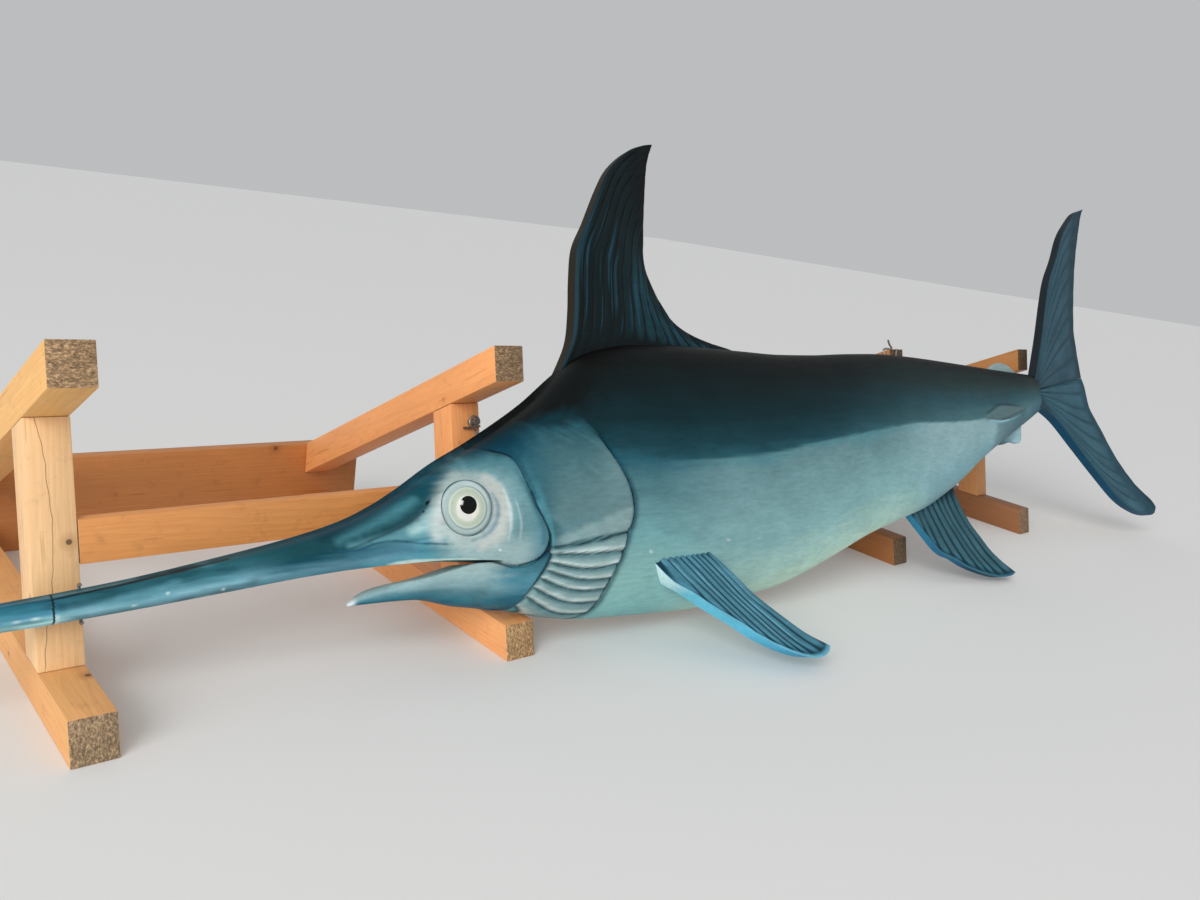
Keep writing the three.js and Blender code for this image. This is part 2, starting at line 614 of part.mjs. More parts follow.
function buildCarving() {
  const carving = new THREE.Group();
  const body = bodySolid();
  const bed = bodySolid(() => GAP, GAP);
  const eyeHole = solidOf(atEye(eyePlug(EYE.radius + GAP, EYE.bottom - GAP, 60)));
  const pupilHole = solidOf(atEye(eyePlug(PUPIL.radius + GAP, PUPIL.from - GAP, 40), PUPIL));
  const pupil = solidOf(atEye(eyePlug(PUPIL.radius, PUPIL.from, PUPIL.to), PUPIL));
  const cheekRoom = roomFor(CHEEK);
  const coverRoom = roomFor(COVER);
  const add = (name, solid, material) => carving.add(named(name, geometryOf(solid), material));

  add('bill', slice(body, BILL_TIP - 5, CUTS.bill), tealFlank());
  add('head', slice(body, CUTS.bill, CUTS.gill).subtract(eyeHole), paleHead());
  add('body_front', slice(body, CUTS.gill, CUTS.middle), navyBack());
  add('body_middle', slice(body, CUTS.middle, CUTS.rear), tealFlank());
  add('body_rear', slice(body, CUTS.rear, CUTS.stalk), navyBack());
  add('tail_stalk', slice(body, CUTS.stalk, STALK_END + 5), tealFlank());
  add('lower_jaw', lowerJaw(bed).subtract(cheekRoom), jawBlue());
  add('cheek', plate(CHEEK, CHEEK_RAISE, bed).subtract(eyeHole), paleHead());
  add('gill_cover', plate(COVER, COVER_RAISE, bed).subtract(cheekRoom), paleHead());
  add('gill_strips', gillStrips(bed).subtract(cheekRoom).subtract(coverRoom), strips());
  add('eye', solidOf(atEye(eyeGeometry())).subtract(pupilHole), ivory());
  add('pupil', pupil, pupilBlack());
  add('dorsal_fin', dorsalFin(bed), navyBack());
  add('second_dorsal_fin', prism(SECOND_DORSAL, ...SMALL_FIN_DEPTH.dorsal).subtract(bed), skyEdge());
  add('pectoral_fin', standingFin(PECTORAL, bed), finTeal());
  add('anal_fin', standingFin(ANAL, bed), finTeal());
  add('second_anal_fin', prism(SECOND_ANAL, ...SMALL_FIN_DEPTH.anal).subtract(bed), skyEdge());
  add('tail_keel', plate(KEEL, KEEL_RAISE, bed), paleHead());
  add('tail_upper_lobe', upperLobe(bed), finTeal());
  add('tail_lower_lobe', lowerLobe(bed), finTeal());

  carving.rotation.set(-LEAN, 0, -YAW, 'ZYX');
  carving.position.copy(CARVING_AT);
  return carving;
}

function buildRack(number) {
  const rack = new THREE.Group();
  const lefts = FRAME_LEFT.slice(2 * number, 2 * number + 2);
  const rises = FRAME_RISE.slice(2 * number, 2 * number + 2);
  lefts.forEach((left, side) => {
    const label = 2 * number + side + 1;
    const rise = rises[side];
    rack.add(named(`stand_foot_${label}`, stick(footView(rise), left, TIMBER), pine()));
    rack.add(named(`stand_post_${label}`, stick(lifted(postView(), rise), left, TIMBER), pine()));
    rack.add(named(`stand_arm_${label}`, stick(lifted(armView(), rise), left, TIMBER), pine()));
  });
  const inner = lefts[0] + TIMBER + GAP;
  const between = (rises[0] + rises[1]) / 2;
  const rail = stick(lifted(railView(), between), inner, lefts[1] - GAP - inner);
  rack.add(named(`stand_rail_${number + 1}`, rail, pine()));
  const end = lefts[0] - BOARD.overhang;
  const board = stick(boardView(), end, lefts[1] - lefts[0] + TIMBER + 2 * BOARD.overhang);
  rack.add(named(`stand_board_${number + 1}`, board, pine()));
  return rack;
}

// Point of the carving's frame in the frame of the racks
function onCarving(x, depth, z) {
  const turn = new THREE.Euler(-LEAN, 0, -YAW, 'ZYX');
  return new THREE.Vector3(x, -depth, z).applyEuler(turn).add(CARVING_AT).toArray();
}

// Point standing off the leaning face of a post at a height
function offPost(x, z, out, side = 0, up = 0) {
  const point = new THREE.Vector3(side, -out, up);
  point.applyAxisAngle(new THREE.Vector3(1, 0, 0), -CUT_LEAN);
  return point.add(new THREE.Vector3(x, postFace(z), z)).toArray();
}

// Bolt in the second post, with a wire looped over it that holds the head,
// and a bent nail under it
function addHeadTie(ties) {
  const x = FRAME_LEFT[1] + BOLT.from;
  const bolt = new THREE.CylinderGeometry(BOLT.radius, BOLT.radius, BOLT.length, 24);
  bolt.translate(0, -BOLT.length / 2 - GAP, 0);
  bolt.rotateX(-CUT_LEAN);
  bolt.translate(...offPost(x, BOLT.z, 0));
  ties.add(named('stand_bolt', bolt, steel()));
  const reach = BOLT.radius + WIRE / 2 + 1;
  const loop = spread(-0.3, 4.1, 7).map((angle) => {
    return offPost(x, BOLT.z, BOLT.length / 2 + 2, reach * Math.cos(angle), reach * Math.sin(angle));
  });
  const behind = WIRE / 2 + GAP + 0.4;
  const under = offPost(x, BOLT.z, BOLT.length / 2 + 1, 4, -reach - 5);
  const path = [...loop, under, onCarving(-12, -behind - 3, 12), onCarving(-13, -behind, 2),
    onCarving(-13, -behind, -10)];
  ties.add(named('stand_wire_head', wireGeometry(path, WIRE), steel()));
  const nail = NAIL.bends.map(([side, up]) => offPost(x, BOLT.z, NAIL.out, side, up));
  ties.add(named('stand_nail', wireGeometry(nail, NAIL.thickness), steel()));
}

// Wire wrapped over the end of the third arm, down to the back of the fish
function addBackTie(ties) {
  const left = FRAME_LEFT[2];
  const nose = armNose();
  const rise = FRAME_RISE[2];
  nose.z += rise;
  const over = WIRE / 2 + GAP + 0.4;
  const along = (distance, up) => {
    const y = nose.y + distance * Math.cos(ARM_SLOPE) + up * Math.sin(ARM_SLOPE);
    return [y, nose.z - distance * Math.sin(ARM_SLOPE) + up * Math.cos(ARM_SLOPE)];
  };
  const path = [
    [left - over, ...along(9, -12)], [left - over - 1, ...along(9, 1)], [left + 4, ...along(9, over + 1)],
    [left + 20, ...along(8, over + 0.5)], [left + 14, ...along(7, over + 8)],
    [left + 10, ...along(5, over + 14)],
  ];
  ties.add(named('stand_wire_arm', wireGeometry(path, WIRE), steel()));
  const drop = AT_ARM.heights.map((height) => {
    const [x, y, z] = onCarving(AT_ARM.x, 0, height);
    const armEnd = ARM_FRONT.y + (z - ARM_FRONT.z - rise) * cutBack;
    return [x, Math.min((y + armEnd) / 2, armEnd - over), z];
  });
  const start = [drop[0][0], nose.y - 4, nose.z + 1];
  ties.add(named('stand_wire_back', wireGeometry([start, ...drop], WIRE), steel()));
}

// Wire clip behind the bill, bent round its upper and lower edges
function addBillTie(ties) {
  const x = AT_POST.x;
  const high = backAt(x) + WIRE;
  const low = lipAt(x) - WIRE;
  const behind = WIRE / 2 + GAP + 0.4;
  const points = [[5, high], [-1, high + 0.5], [-behind, high - 3], [-behind, (high + low) / 2],
    [-behind, low + 3], [-1, low - 0.5], [5, low]];
  const path = points.map(([depth, z]) => onCarving(x, depth, z));
  ties.add(named('stand_wire_bill', wireGeometry(path, WIRE), steel()));
}

function buildTies() {
  const ties = new THREE.Group();
  addHeadTie(ties);
  addBackTie(ties);
  addBillTie(ties);
  return ties;
}

function buildModel() {
  const model = new THREE.Group();
  model.add(buildCarving());
  model.add(buildRack(0));
  model.add(buildRack(1));
  model.add(buildTies());
  model.updateMatrixWorld(true);
  const box = new THREE.Box3().setFromObject(model, true);
  const centre = box.getCenter(new THREE.Vector3());
  model.position.set(-centre.x, -centre.y, -box.min.z);
  return model;
}

export default buildModel();
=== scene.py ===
"""Carved and painted swordfish relief, leaning on two timber racks."""

import logging
import math
from collections.abc import Sequence
from dataclasses import dataclass, field
from enum import Enum

import bpy
import numpy as np
from mathutils import Euler, Matrix, Vector


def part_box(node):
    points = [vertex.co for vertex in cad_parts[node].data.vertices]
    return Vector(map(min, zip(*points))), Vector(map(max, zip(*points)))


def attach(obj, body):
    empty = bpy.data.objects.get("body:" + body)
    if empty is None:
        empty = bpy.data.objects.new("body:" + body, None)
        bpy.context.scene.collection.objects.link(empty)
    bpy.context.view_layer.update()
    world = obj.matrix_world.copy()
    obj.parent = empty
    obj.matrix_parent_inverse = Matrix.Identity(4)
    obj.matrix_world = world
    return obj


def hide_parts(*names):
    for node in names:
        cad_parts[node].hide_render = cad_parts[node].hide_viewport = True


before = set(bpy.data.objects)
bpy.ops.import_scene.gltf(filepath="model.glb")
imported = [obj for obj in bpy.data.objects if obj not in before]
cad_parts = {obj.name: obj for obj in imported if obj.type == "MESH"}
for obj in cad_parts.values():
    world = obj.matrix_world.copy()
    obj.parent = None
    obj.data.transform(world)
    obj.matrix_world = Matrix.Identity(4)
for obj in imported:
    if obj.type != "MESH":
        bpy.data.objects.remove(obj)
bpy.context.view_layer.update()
LOG = logging.getLogger("swordfish")
MM = 0.001
FAR = 1e9
LATTICE = 64
EASED_EDGE = 1.2 * MM

Array = np.ndarray
Piece = bpy.types.Object
Material = bpy.types.Material
Socket = bpy.types.NodeSocket
Points = Sequence[tuple[float, ...]]
Triple = tuple[float, float, float]


class Line:
    """Smooth curve of z over x through a few points, without overshoot."""

    def __init__(self, points: Points) -> None:
        """Keep the points and work out the slope at each.

        Args:
            points: Pairs of x and value, in rising x.
        """
        table = np.array(points, float)
        self.x, self.value = table[:, 0], table[:, 1]
        self.step = np.diff(self.x)
        rise = np.diff(self.value) / self.step
        slope = np.concatenate([rise[:1], np.zeros(len(rise) - 1), rise[-1:]])
        for i in range(1, len(rise)):
            if rise[i - 1] * rise[i] > 0:
                total = self.step[i - 1] + self.step[i]
                before = (total + self.step[i]) / rise[i - 1]
                after = (total + self.step[i - 1]) / rise[i]
                slope[i] = 3 * total / (before + after)
        self.slope = slope

    def __call__(self, x: Array | float) -> Array:
        """Return the value at x.

        Args:
            x: Places to read the curve at.

        Returns:
            The curve's values there.
        """
        x = np.asarray(x, float)
        i = np.clip(np.searchsorted(self.x, x, side="right") - 1, 0, len(self.step) - 1)
        t = np.clip((x - self.x[i]) / self.step[i], 0, 1)
        ends = self.value[i] * (1 + 2 * t) * (1 - t) ** 2 + self.value[i + 1] * t**2 * (3 - 2 * t)
        leans = self.slope[i] * t * (1 - t) ** 2 + self.slope[i + 1] * t**2 * (t - 1)
        return ends + leans * self.step[i]


def fade(low: float, high: float, value: Array) -> Array:
    """Return 0 below low, 1 above high and a soft step between.

    Args:
        low: Where the step starts.
        high: Where the step ends; it may be below low.
        value: What is compared.

    Returns:
        The step's height for each value.
    """
    t = np.clip((value - low) / (high - low), 0, 1)
    return t * t * (3 - 2 * t)


def rounded(points: Points, closed: bool = False, steps: int = 8) -> Array:
    """Return a finer run of points on a curve through the given ones.

    Args:
        points: Corners of the curve; every number in them is carried along.
        closed: Whether the curve joins its own start.
        steps: How many pieces each stretch gets.

    Returns:
        Array with one row for each point.
    """
    table = np.array(points, float)
    if closed:
        table = np.vstack([table[-1:], table, table[:2]])
    else:
        table = np.vstack([table[:1], table, table[-1:]])
    t = (np.arange(steps) / steps)[:, None]
    rows = []
    for a, b, c, d in zip(table, table[1:], table[2:], table[3:]):
        lean = 0.5 * (c - a)
        leave = 0.5 * (d - b)
        rows.append(b + lean * t + (3 * (c - b) - 2 * lean - leave) * t**2
                    + (2 * (b - c) + lean + leave) * t**3)
    if not closed:
        rows.append(table[-2:-1])
    return np.vstack(rows)


def distance(x: Array, z: Array, line: Array) -> tuple[Array, Array]:
    """Return how far points lie from a run of points, and where along it.

    Args:
        x: First coordinate of the points.
        z: Second coordinate of the points.
        line: Rows of the run, x and z first.

    Returns:
        The distances, and the place along the run counted in its pieces.
    """
    best = np.full(x.shape, FAR)
    place = np.zeros(x.shape)
    for i in range(len(line) - 1):
        a, b = line[i, :2], line[i + 1, :2]
        run = b - a
        length = max(float(run @ run), 1e-9)
        t = np.clip(((x - a[0]) * run[0] + (z - a[1]) * run[1]) / length, 0, 1)
        gap = np.hypot(x - a[0] - run[0] * t, z - a[1] - run[1] * t)
        nearer = gap < best
        best = np.where(nearer, gap, best)
        place = np.where(nearer, i + t, place)
    return best, place


def inside(x: Array, z: Array, outline: Array) -> Array:
    """Return the distance to a closed outline, positive inside it.

    Args:
        x: First coordinate of the points.
        z: Second coordinate of the points.
        outline: Corners of the outline.

    Returns:
        Signed distance of each point.
    """
    ring = np.vstack([outline, outline[:1]])
    gap, _ = distance(x, z, ring)
    within = np.zeros(x.shape, bool)
    for a, b in zip(ring, ring[1:]):
        if a[1] == b[1]:
            continue
        crosses = (a[1] > z) != (b[1] > z)
        at = a[0] + (z - a[1]) * (b[0] - a[0]) / (b[1] - a[1])
        within ^= crosses & (x < at)
    return np.where(within, gap, -gap)


class Grain:
    """Soft repeatable unevenness over two coordinates."""

    def __init__(self, seed: int) -> None:
        """Draw the lattice.

        Args:
            seed: Starts the random draw.
        """
        self.lattice = np.random.default_rng(seed).random((LATTICE, LATTICE))

    def __call__(self, x: Array, z: Array) -> Array:
        """Return a value from -1 to 1 at each point.

        Args:
            x: First coordinate, in lattice steps.
            z: Second coordinate, in lattice steps.

        Returns:
            Array of the unevenness.
        """
        i, j = np.floor(x).astype(int), np.floor(z).astype(int)
        u, v = x - i, z - j
        u, v = u * u * (3 - 2 * u), v * v * (3 - 2 * v)
        left, right, low, high = i % LATTICE, (i + 1) % LATTICE, j % LATTICE, (j + 1) % LATTICE
        near = self.lattice[left, low] * (1 - u) + self.lattice[right, low] * u
        far = self.lattice[left, high] * (1 - u) + self.lattice[right, high] * u
        return 2 * (near * (1 - v) + far * v) - 1


def tone(code: str) -> Array:
    """Return a paint colour as linear light.

    Args:
        code: Six hexadecimal digits as a screen shows the colour.

    Returns:
        Red, green and blue.
    """
    screen = np.array([int(code[i:i + 2], 16) / 255 for i in (0, 2, 4)])
    return np.where(screen <= 0.04045, screen / 12.92, ((screen + 0.055) / 1.055) ** 2.4)


def blend(under: Array, over: Array | str, share: Array) -> Array:
    """Return one paint laid over another.

    Args:
        under: Colours beneath, one row a point.
        over: Colour or colours laid on, or a colour's code.
        share: How much of the upper one shows at each point.

    Returns:
        The colours that show.
    """
    over = tone(over) if isinstance(over, str) else over
    share = np.clip(share, 0, 1)[..., None]
    return under * (1 - share) + over * share


@dataclass
class Carving:
    """Frame of the carving: x to the tail, z up its flat back, depth out of it."""

    lean: float = math.radians(23.2)
    yaw: float = math.radians(5.7)
    place: Triple = (0.4553, 0.1101, 0.2144)
    matrix: Matrix = field(init=False)

    def __post_init__(self) -> None:
        """Set the frame against the first rack's foot."""
        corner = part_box("stand_foot_1")[0]
        turn = Euler((-self.lean, 0, -self.yaw), "XYZ").to_matrix().to_4x4()
        self.matrix = Matrix.Translation(corner + Vector(self.place)) @ turn

    def to_world(self, x: Array, depth: Array, z: Array) -> Array:
        """Return points of the carving's frame in the model's.

        Args:
            x: Places along the fish, in millimetres.
            depth: Distances out of the flat back, in millimetres.
            z: Heights up the flat back, in millimetres.

        Returns:
            One row a point, in metres.
        """
        local = np.stack(np.broadcast_arrays(x, -np.asarray(depth), z), -1) * MM
        matrix = np.array(self.matrix)
        return local @ matrix[:3, :3].T + matrix[:3, 3]

    def to_local(self, piece: Piece) -> tuple[Array, Array, Array]:
        """Return a piece's points in the carving's frame.

        Args:
            piece: The piece whose points are read.

        Returns:
            Arrays of x, depth and z, in millimetres.
        """
        points = np.empty(len(piece.data.vertices) * 3)
        piece.data.vertices.foreach_get("co", points)
        matrix = np.array(self.matrix)
        local = (points.reshape(-1, 3) - matrix[:3, 3]) @ matrix[:3, :3] / MM
        return local[:, 0], -local[:, 1], local[:, 2]


CARVING = Carving()


def only(piece: Piece) -> None:
    """Select one piece and make it the active one.

    Args:
        piece: What the next operators act on.
    """
    bpy.ops.object.select_all(action="DESELECT")
    piece.select_set(True)
    bpy.context.view_layer.objects.active = piece


def linked(name: str, data: bpy.types.ID) -> Piece:
    """Return a new object that is linked to the scene.

    Args:
        name: The object's name.
        data: Its mesh, light or camera.

    Returns:
        The object.
    """
    thing = bpy.data.objects.new(name, data)
    bpy.context.scene.collection.objects.link(thing)
    return thing


def loft(rings: int, count: int) -> list[list[int]]:
    """Return the faces of a closed loft through rings of points, with both ends shut.

    Args:
        rings: Number of rings.
        count: Points in each ring.

    Returns:
        Point numbers of each face.
    """
    faces = []
    for start in range(0, (rings - 1) * count, count):
        for k in range(count):
            a, b = start + k, start + (k + 1) % count
            faces.append([a, b, b + count, a + count])
    faces.append(list(range(count))[::-1])
    faces.append([(rings - 1) * count + k for k in range(count)])
    return faces


def piece_from(name: str, points: Array, faces: list[list[int]]) -> Piece:
    """Return a new closed piece whose faces all turn outwards.

    Args:
        name: The piece's name.
        points: One row a point, in metres.
        faces: Point numbers of each face.

    Returns:
        The piece, linked to the scene.
    """
    mesh = bpy.data.meshes.new(name)
    mesh.from_pydata(points.tolist(), [], faces)
    mesh.update()
    piece = linked(name, mesh)
    only(piece)
    bpy.ops.object.mode_set(mode="EDIT")
    bpy.ops.mesh.select_all(action="SELECT")
    bpy.ops.mesh.normals_make_consistent(inside=False)
    bpy.ops.object.mode_set(mode="OBJECT")
    return piece


def smooth(piece: Piece, angle: float) -> None:
    """Shade a piece smooth, with edges sharper than an angle left crisp.

    Args:
        piece: What is shaded.
        angle: Limit in degrees.
    """
    only(piece)
    bpy.ops.object.shade_smooth_by_angle(angle=math.radians(angle))


def add_modifier(piece: Piece, kind: str, **settings: object) -> None:
    """Add a modifier to a piece and apply it.

    Args:
        piece: What is changed.
        kind: The modifier's type.
        **settings: Its values by name.
    """
    only(piece)
    modifier = piece.modifiers.new(kind.lower(), kind)
    for key, value in settings.items():
        setattr(modifier, key, value)
    bpy.ops.object.modifier_apply(modifier=modifier.name)


def ease_edges(piece: Piece, segments: int, angle: float) -> None:
    """Round off the sharp edges of sawn wood.

    Args:
        piece: What is rounded.
        segments: Steps of the rounding.
        angle: Smallest angle of an edge that is rounded, in degrees.
    """
    add_modifier(piece, "BEVEL", width=EASED_EDGE, segments=segments, limit_method="ANGLE",
                 angle_limit=math.radians(angle))


def store_paint(piece: Piece, colours: Array) -> None:
    """Keep a colour at each point of a piece, for its material.

    Args:
        piece: What is painted.
        colours: Linear colours, one row a point.
    """
    layer = piece.data.color_attributes.new("paint", "FLOAT_COLOR", "POINT")
    full = np.ones((len(colours), 4), np.float32)
    full[:, :3] = colours
    layer.data.foreach_set("color", full.ravel())


def leave_bare(piece: Piece, bare: Material) -> None:
    """Give the flat back of a carved piece its bare wood.

    Args:
        piece: A piece that already has its paint.
        bare: Material of the sawn wood.
    """
    piece.data.materials.append(bare)
    back = np.array(CARVING.matrix)[:3, 1]
    normals = np.empty(len(piece.data.polygons) * 3)
    piece.data.polygons.foreach_get("normal", normals)
    facing = normals.reshape(-1, 3) @ back > 0.9
    piece.data.polygons.foreach_set("material_index", facing.astype(np.int32))


def settle(piece: Piece, slot: str, *nodes: str) -> None:
    """Ride a piece on the model and say what it stands for.

    Args:
        piece: The finished piece.
        slot: Not used.
        *nodes: Nodes that it replaces.
    """
    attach(piece, "root")
    if nodes:
        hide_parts(*nodes)
    LOG.info("%s: %d faces, for %s", piece.name, len(piece.data.polygons), ", ".join(nodes) or "itself")


def finish(piece: Piece, colours: Array, coats: list[Material], slot: str, *nodes: str) -> None:
    """Paint a carved piece and settle it in the model.

    Args:
        piece: The piece as it is modelled.
        colours: Linear colours, one row a point.
        coats: Its paint, and bare wood where its flat back has that.
        slot: Label that is handed on to settle.
        *nodes: Nodes that it replaces.
    """
    store_paint(piece, colours)
    piece.data.materials.append(coats[0])
    if len(coats) > 1:
        leave_bare(piece, coats[1])
    settle(piece, slot, *nodes)


class Graph:
    """Node tree of one material, built from left to right."""

    def __init__(self, name: str) -> None:
        """Start an empty material.

        Args:
            name: The material's name.
        """
        self.material = bpy.data.materials.new(name)
        self.material.use_nodes = True
        self.tree = self.material.node_tree
        self.tree.nodes.clear()
        self.shader = self.node("BsdfPrincipled")
        output = self.node("OutputMaterial")
        self.tree.links.new(self.shader.outputs[0], output.inputs[0])

    def node(self, kind: str, **settings: object) -> bpy.types.Node:
        """Return a new node.

        Args:
            kind: Type name without its ShaderNode prefix.
            **settings: Properties by name.

        Returns:
            The node.
        """
        node = self.tree.nodes.new("ShaderNode" + kind)
        for key, value in settings.items():
            setattr(node, key, value)
        return node

    def put(self, socket: Socket, value: object) -> None:
        """Set a socket from a number, a vector or another socket.

        Args:
            socket: The input that is fed.
            value: What feeds it.
        """
        if isinstance(value, Socket):
            self.tree.links.new(value, socket)
        else:
            socket.default_value = value

    def feed(self, name: str, value: object) -> None:
        """Set one of the shader's own sockets."""
        self.put(self.shader.inputs[name], value)

    def math(self, operation: str, *values: object) -> Socket:
        """Return the result of a number operation.

        Args:
            operation: Name of the operation.
            *values: Numbers or sockets.

        Returns:
            Output socket.
        """
        node = self.node("Math", operation=operation)
        for socket, value in zip(node.inputs, values):
            self.put(socket, value)
        return node.outputs[0]

    def vector(self, operation: str, *values: object) -> bpy.types.Node:
        """Return a vector operation's node.

        Args:
            operation: Name of the operation.
            *values: Vectors or sockets.

        Returns:
            The node, whose outputs hold the result.
        """
        node = self.node("VectorMath", operation=operation)
        for socket, value in zip(node.inputs, values):
            self.put(socket, value)
        return node

    def mix(self, share: object, first: object, second: object) -> Socket:
        """Return a colour between two.

        Args:
            share: How much of the second shows.
            first: Colour beneath.
            second: Colour on top.

        Returns:
            Output socket.
        """
        node = self.node("Mix", data_type="RGBA")
        self.put(node.inputs["Factor"], share)
        for socket, value in ((node.inputs[6], first), (node.inputs[7], second)):
            if isinstance(value, (tuple, list, Array)) and len(value) == 3:
                value = (*[float(v) for v in value], 1.0)
            self.put(socket, value)
        return node.outputs[2]

    def noise(self, vector: object, scale: float, detail: float = 3, rough: float = 0.5) -> Socket:
        """Return soft noise over a vector.

        Args:
            vector: Place that is read.
            scale: Waves to the metre.
            detail: Layers of finer noise.
            rough: Strength of the finer layers.

        Returns:
            Output socket from 0 to 1.
        """
        node = self.node("TexNoise")
        self.put(node.inputs["Vector"], vector)
        self.put(node.inputs["Scale"], scale)
        self.put(node.inputs["Detail"], detail)
        self.put(node.inputs["Roughness"], rough)
        return node.outputs["Fac"]

    def between(self, value: object, low: float, high: float, start: float, end: float) -> Socket:
        """Return a value moved from one range to another, clamped.

        Args:
            value: What is moved.
            low: Value that gives start.
            high: Value that gives end.
            start: First result.
            end: Last result.

        Returns:
            Output socket.
        """
        node = self.node("MapRange", clamp=True)
        for socket, number in zip(node.inputs, (value, low, high, start, end)):
            self.put(socket, number)
        return node.outputs[0]

    def place(self, matrix: Matrix, stretch: Triple = (1, 1, 1)) -> Socket:
        """Return the object's coordinates in a turned frame.

        Args:
            matrix: Frame that the pattern follows.
            stretch: Factors on its axes.

        Returns:
            Output socket.
        """
        source = self.node("TexCoord")
        mapping = self.node("Mapping", vector_type="TEXTURE")
        self.put(mapping.inputs["Location"], matrix.to_translation())
        self.put(mapping.inputs["Rotation"], matrix.to_euler("XYZ"))
        self.tree.links.new(source.outputs["Object"], mapping.inputs["Vector"])
        return self.vector("MULTIPLY", mapping.outputs[0], stretch).outputs[0]

    def stretched(self, vector: object, share: float) -> Socket:
        """Return a vector whose first part is scaled, so a pattern runs along it."""
        return self.vector("MULTIPLY", vector, (share, 1, 1)).outputs[0]

    def parts(self, vector: object) -> list[Socket]:
        """Return the three parts of a vector.

        Args:
            vector: What is taken apart.

        Returns:
            Output sockets for x, y and z.
        """
        node = self.node("SeparateXYZ")
        self.put(node.inputs[0], vector)
        return list(node.outputs)

    def bump(self, height: object, distance_mm: float, strength: float, below: object = None) -> Socket:
        """Return a normal that is roughened by a height.

        Args:
            height: Height from 0 to 1.
            distance_mm: What a height of 1 stands for.
            strength: Share of the effect.
            below: Normal that it builds on.

        Returns:
            Output socket.
        """
        node = self.node("Bump")
        self.put(node.inputs["Height"], height)
        self.put(node.inputs["Distance"], distance_mm * MM)
        self.put(node.inputs["Strength"], strength)
        if below is not None:
            self.put(node.inputs["Normal"], below)
        return node.outputs[0]


@dataclass(frozen=True)
class BrushedPaint:
    """Satin paint brushed on carved wood, over colours kept in the mesh."""

    name: str
    roughness: float = 0.48
    streaks: float = 0.12
    blotches: float = 0.08
    flecks: float = 0.28
    specular: float = 0.09
    bristle_waves: float = 260
    patch_waves: float = 22
    fleck_waves: float = 26
    fleck_tint: Triple = (0.62, 0.74, 0.76)

    def make(self) -> Material:
        """Build the material.

        Returns:
            The finished material.
        """
        g = Graph(self.name)
        along = g.place(CARVING.matrix, (0.22, 1, 1))
        even = g.place(CARVING.matrix)
        paint = g.node("Attribute", attribute_name="paint").outputs["Color"]
        bristles = g.noise(along, self.bristle_waves, 5, 0.65)
        patches = g.noise(even, self.patch_waves, 3)
        shade = g.between(bristles, 0.3, 0.7, 1 - self.streaks, 1 + self.streaks)
        cloud = g.between(patches, 0.3, 0.7, 1 - self.blotches, 1 + self.blotches)
        tinted = g.vector("SCALE", paint)
        g.put(tinted.inputs["Scale"], g.math("MULTIPLY", shade, cloud))
        spots = g.node("TexVoronoi", feature="F1")
        g.put(spots.inputs["Vector"], even)
        g.put(spots.inputs["Scale"], self.fleck_waves)
        ragged = g.math("ADD", spots.outputs["Distance"], g.math("MULTIPLY", bristles, 0.05))
        brightness = g.node("RGBToBW")
        g.put(brightness.inputs[0], paint)
        pale = g.between(brightness.outputs[0], 0.12, 0.3, 0, self.flecks)
        speck = g.math("MULTIPLY", g.between(ragged, 0.052, 0.038, 0, 1), pale)
        g.feed("Base Color", g.mix(speck, tinted.outputs[0], self.fleck_tint))
        satin = g.between(bristles, 0.2, 0.8, self.roughness - 0.07, self.roughness + 0.1)
        g.feed("Roughness", satin)
        g.feed("Specular IOR Level", self.specular)
        grain = g.bump(g.noise(even, 900, 2), 0.12, 0.5)
        g.feed("Normal", g.bump(bristles, 0.35, 0.6, grain))
        return g.material


def scaled(colour: Triple, factor: float, most: float = 1.0) -> Triple:
    """Return a colour made darker or lighter, up to a limit."""
    return tuple(min(most, part * factor) for part in colour)


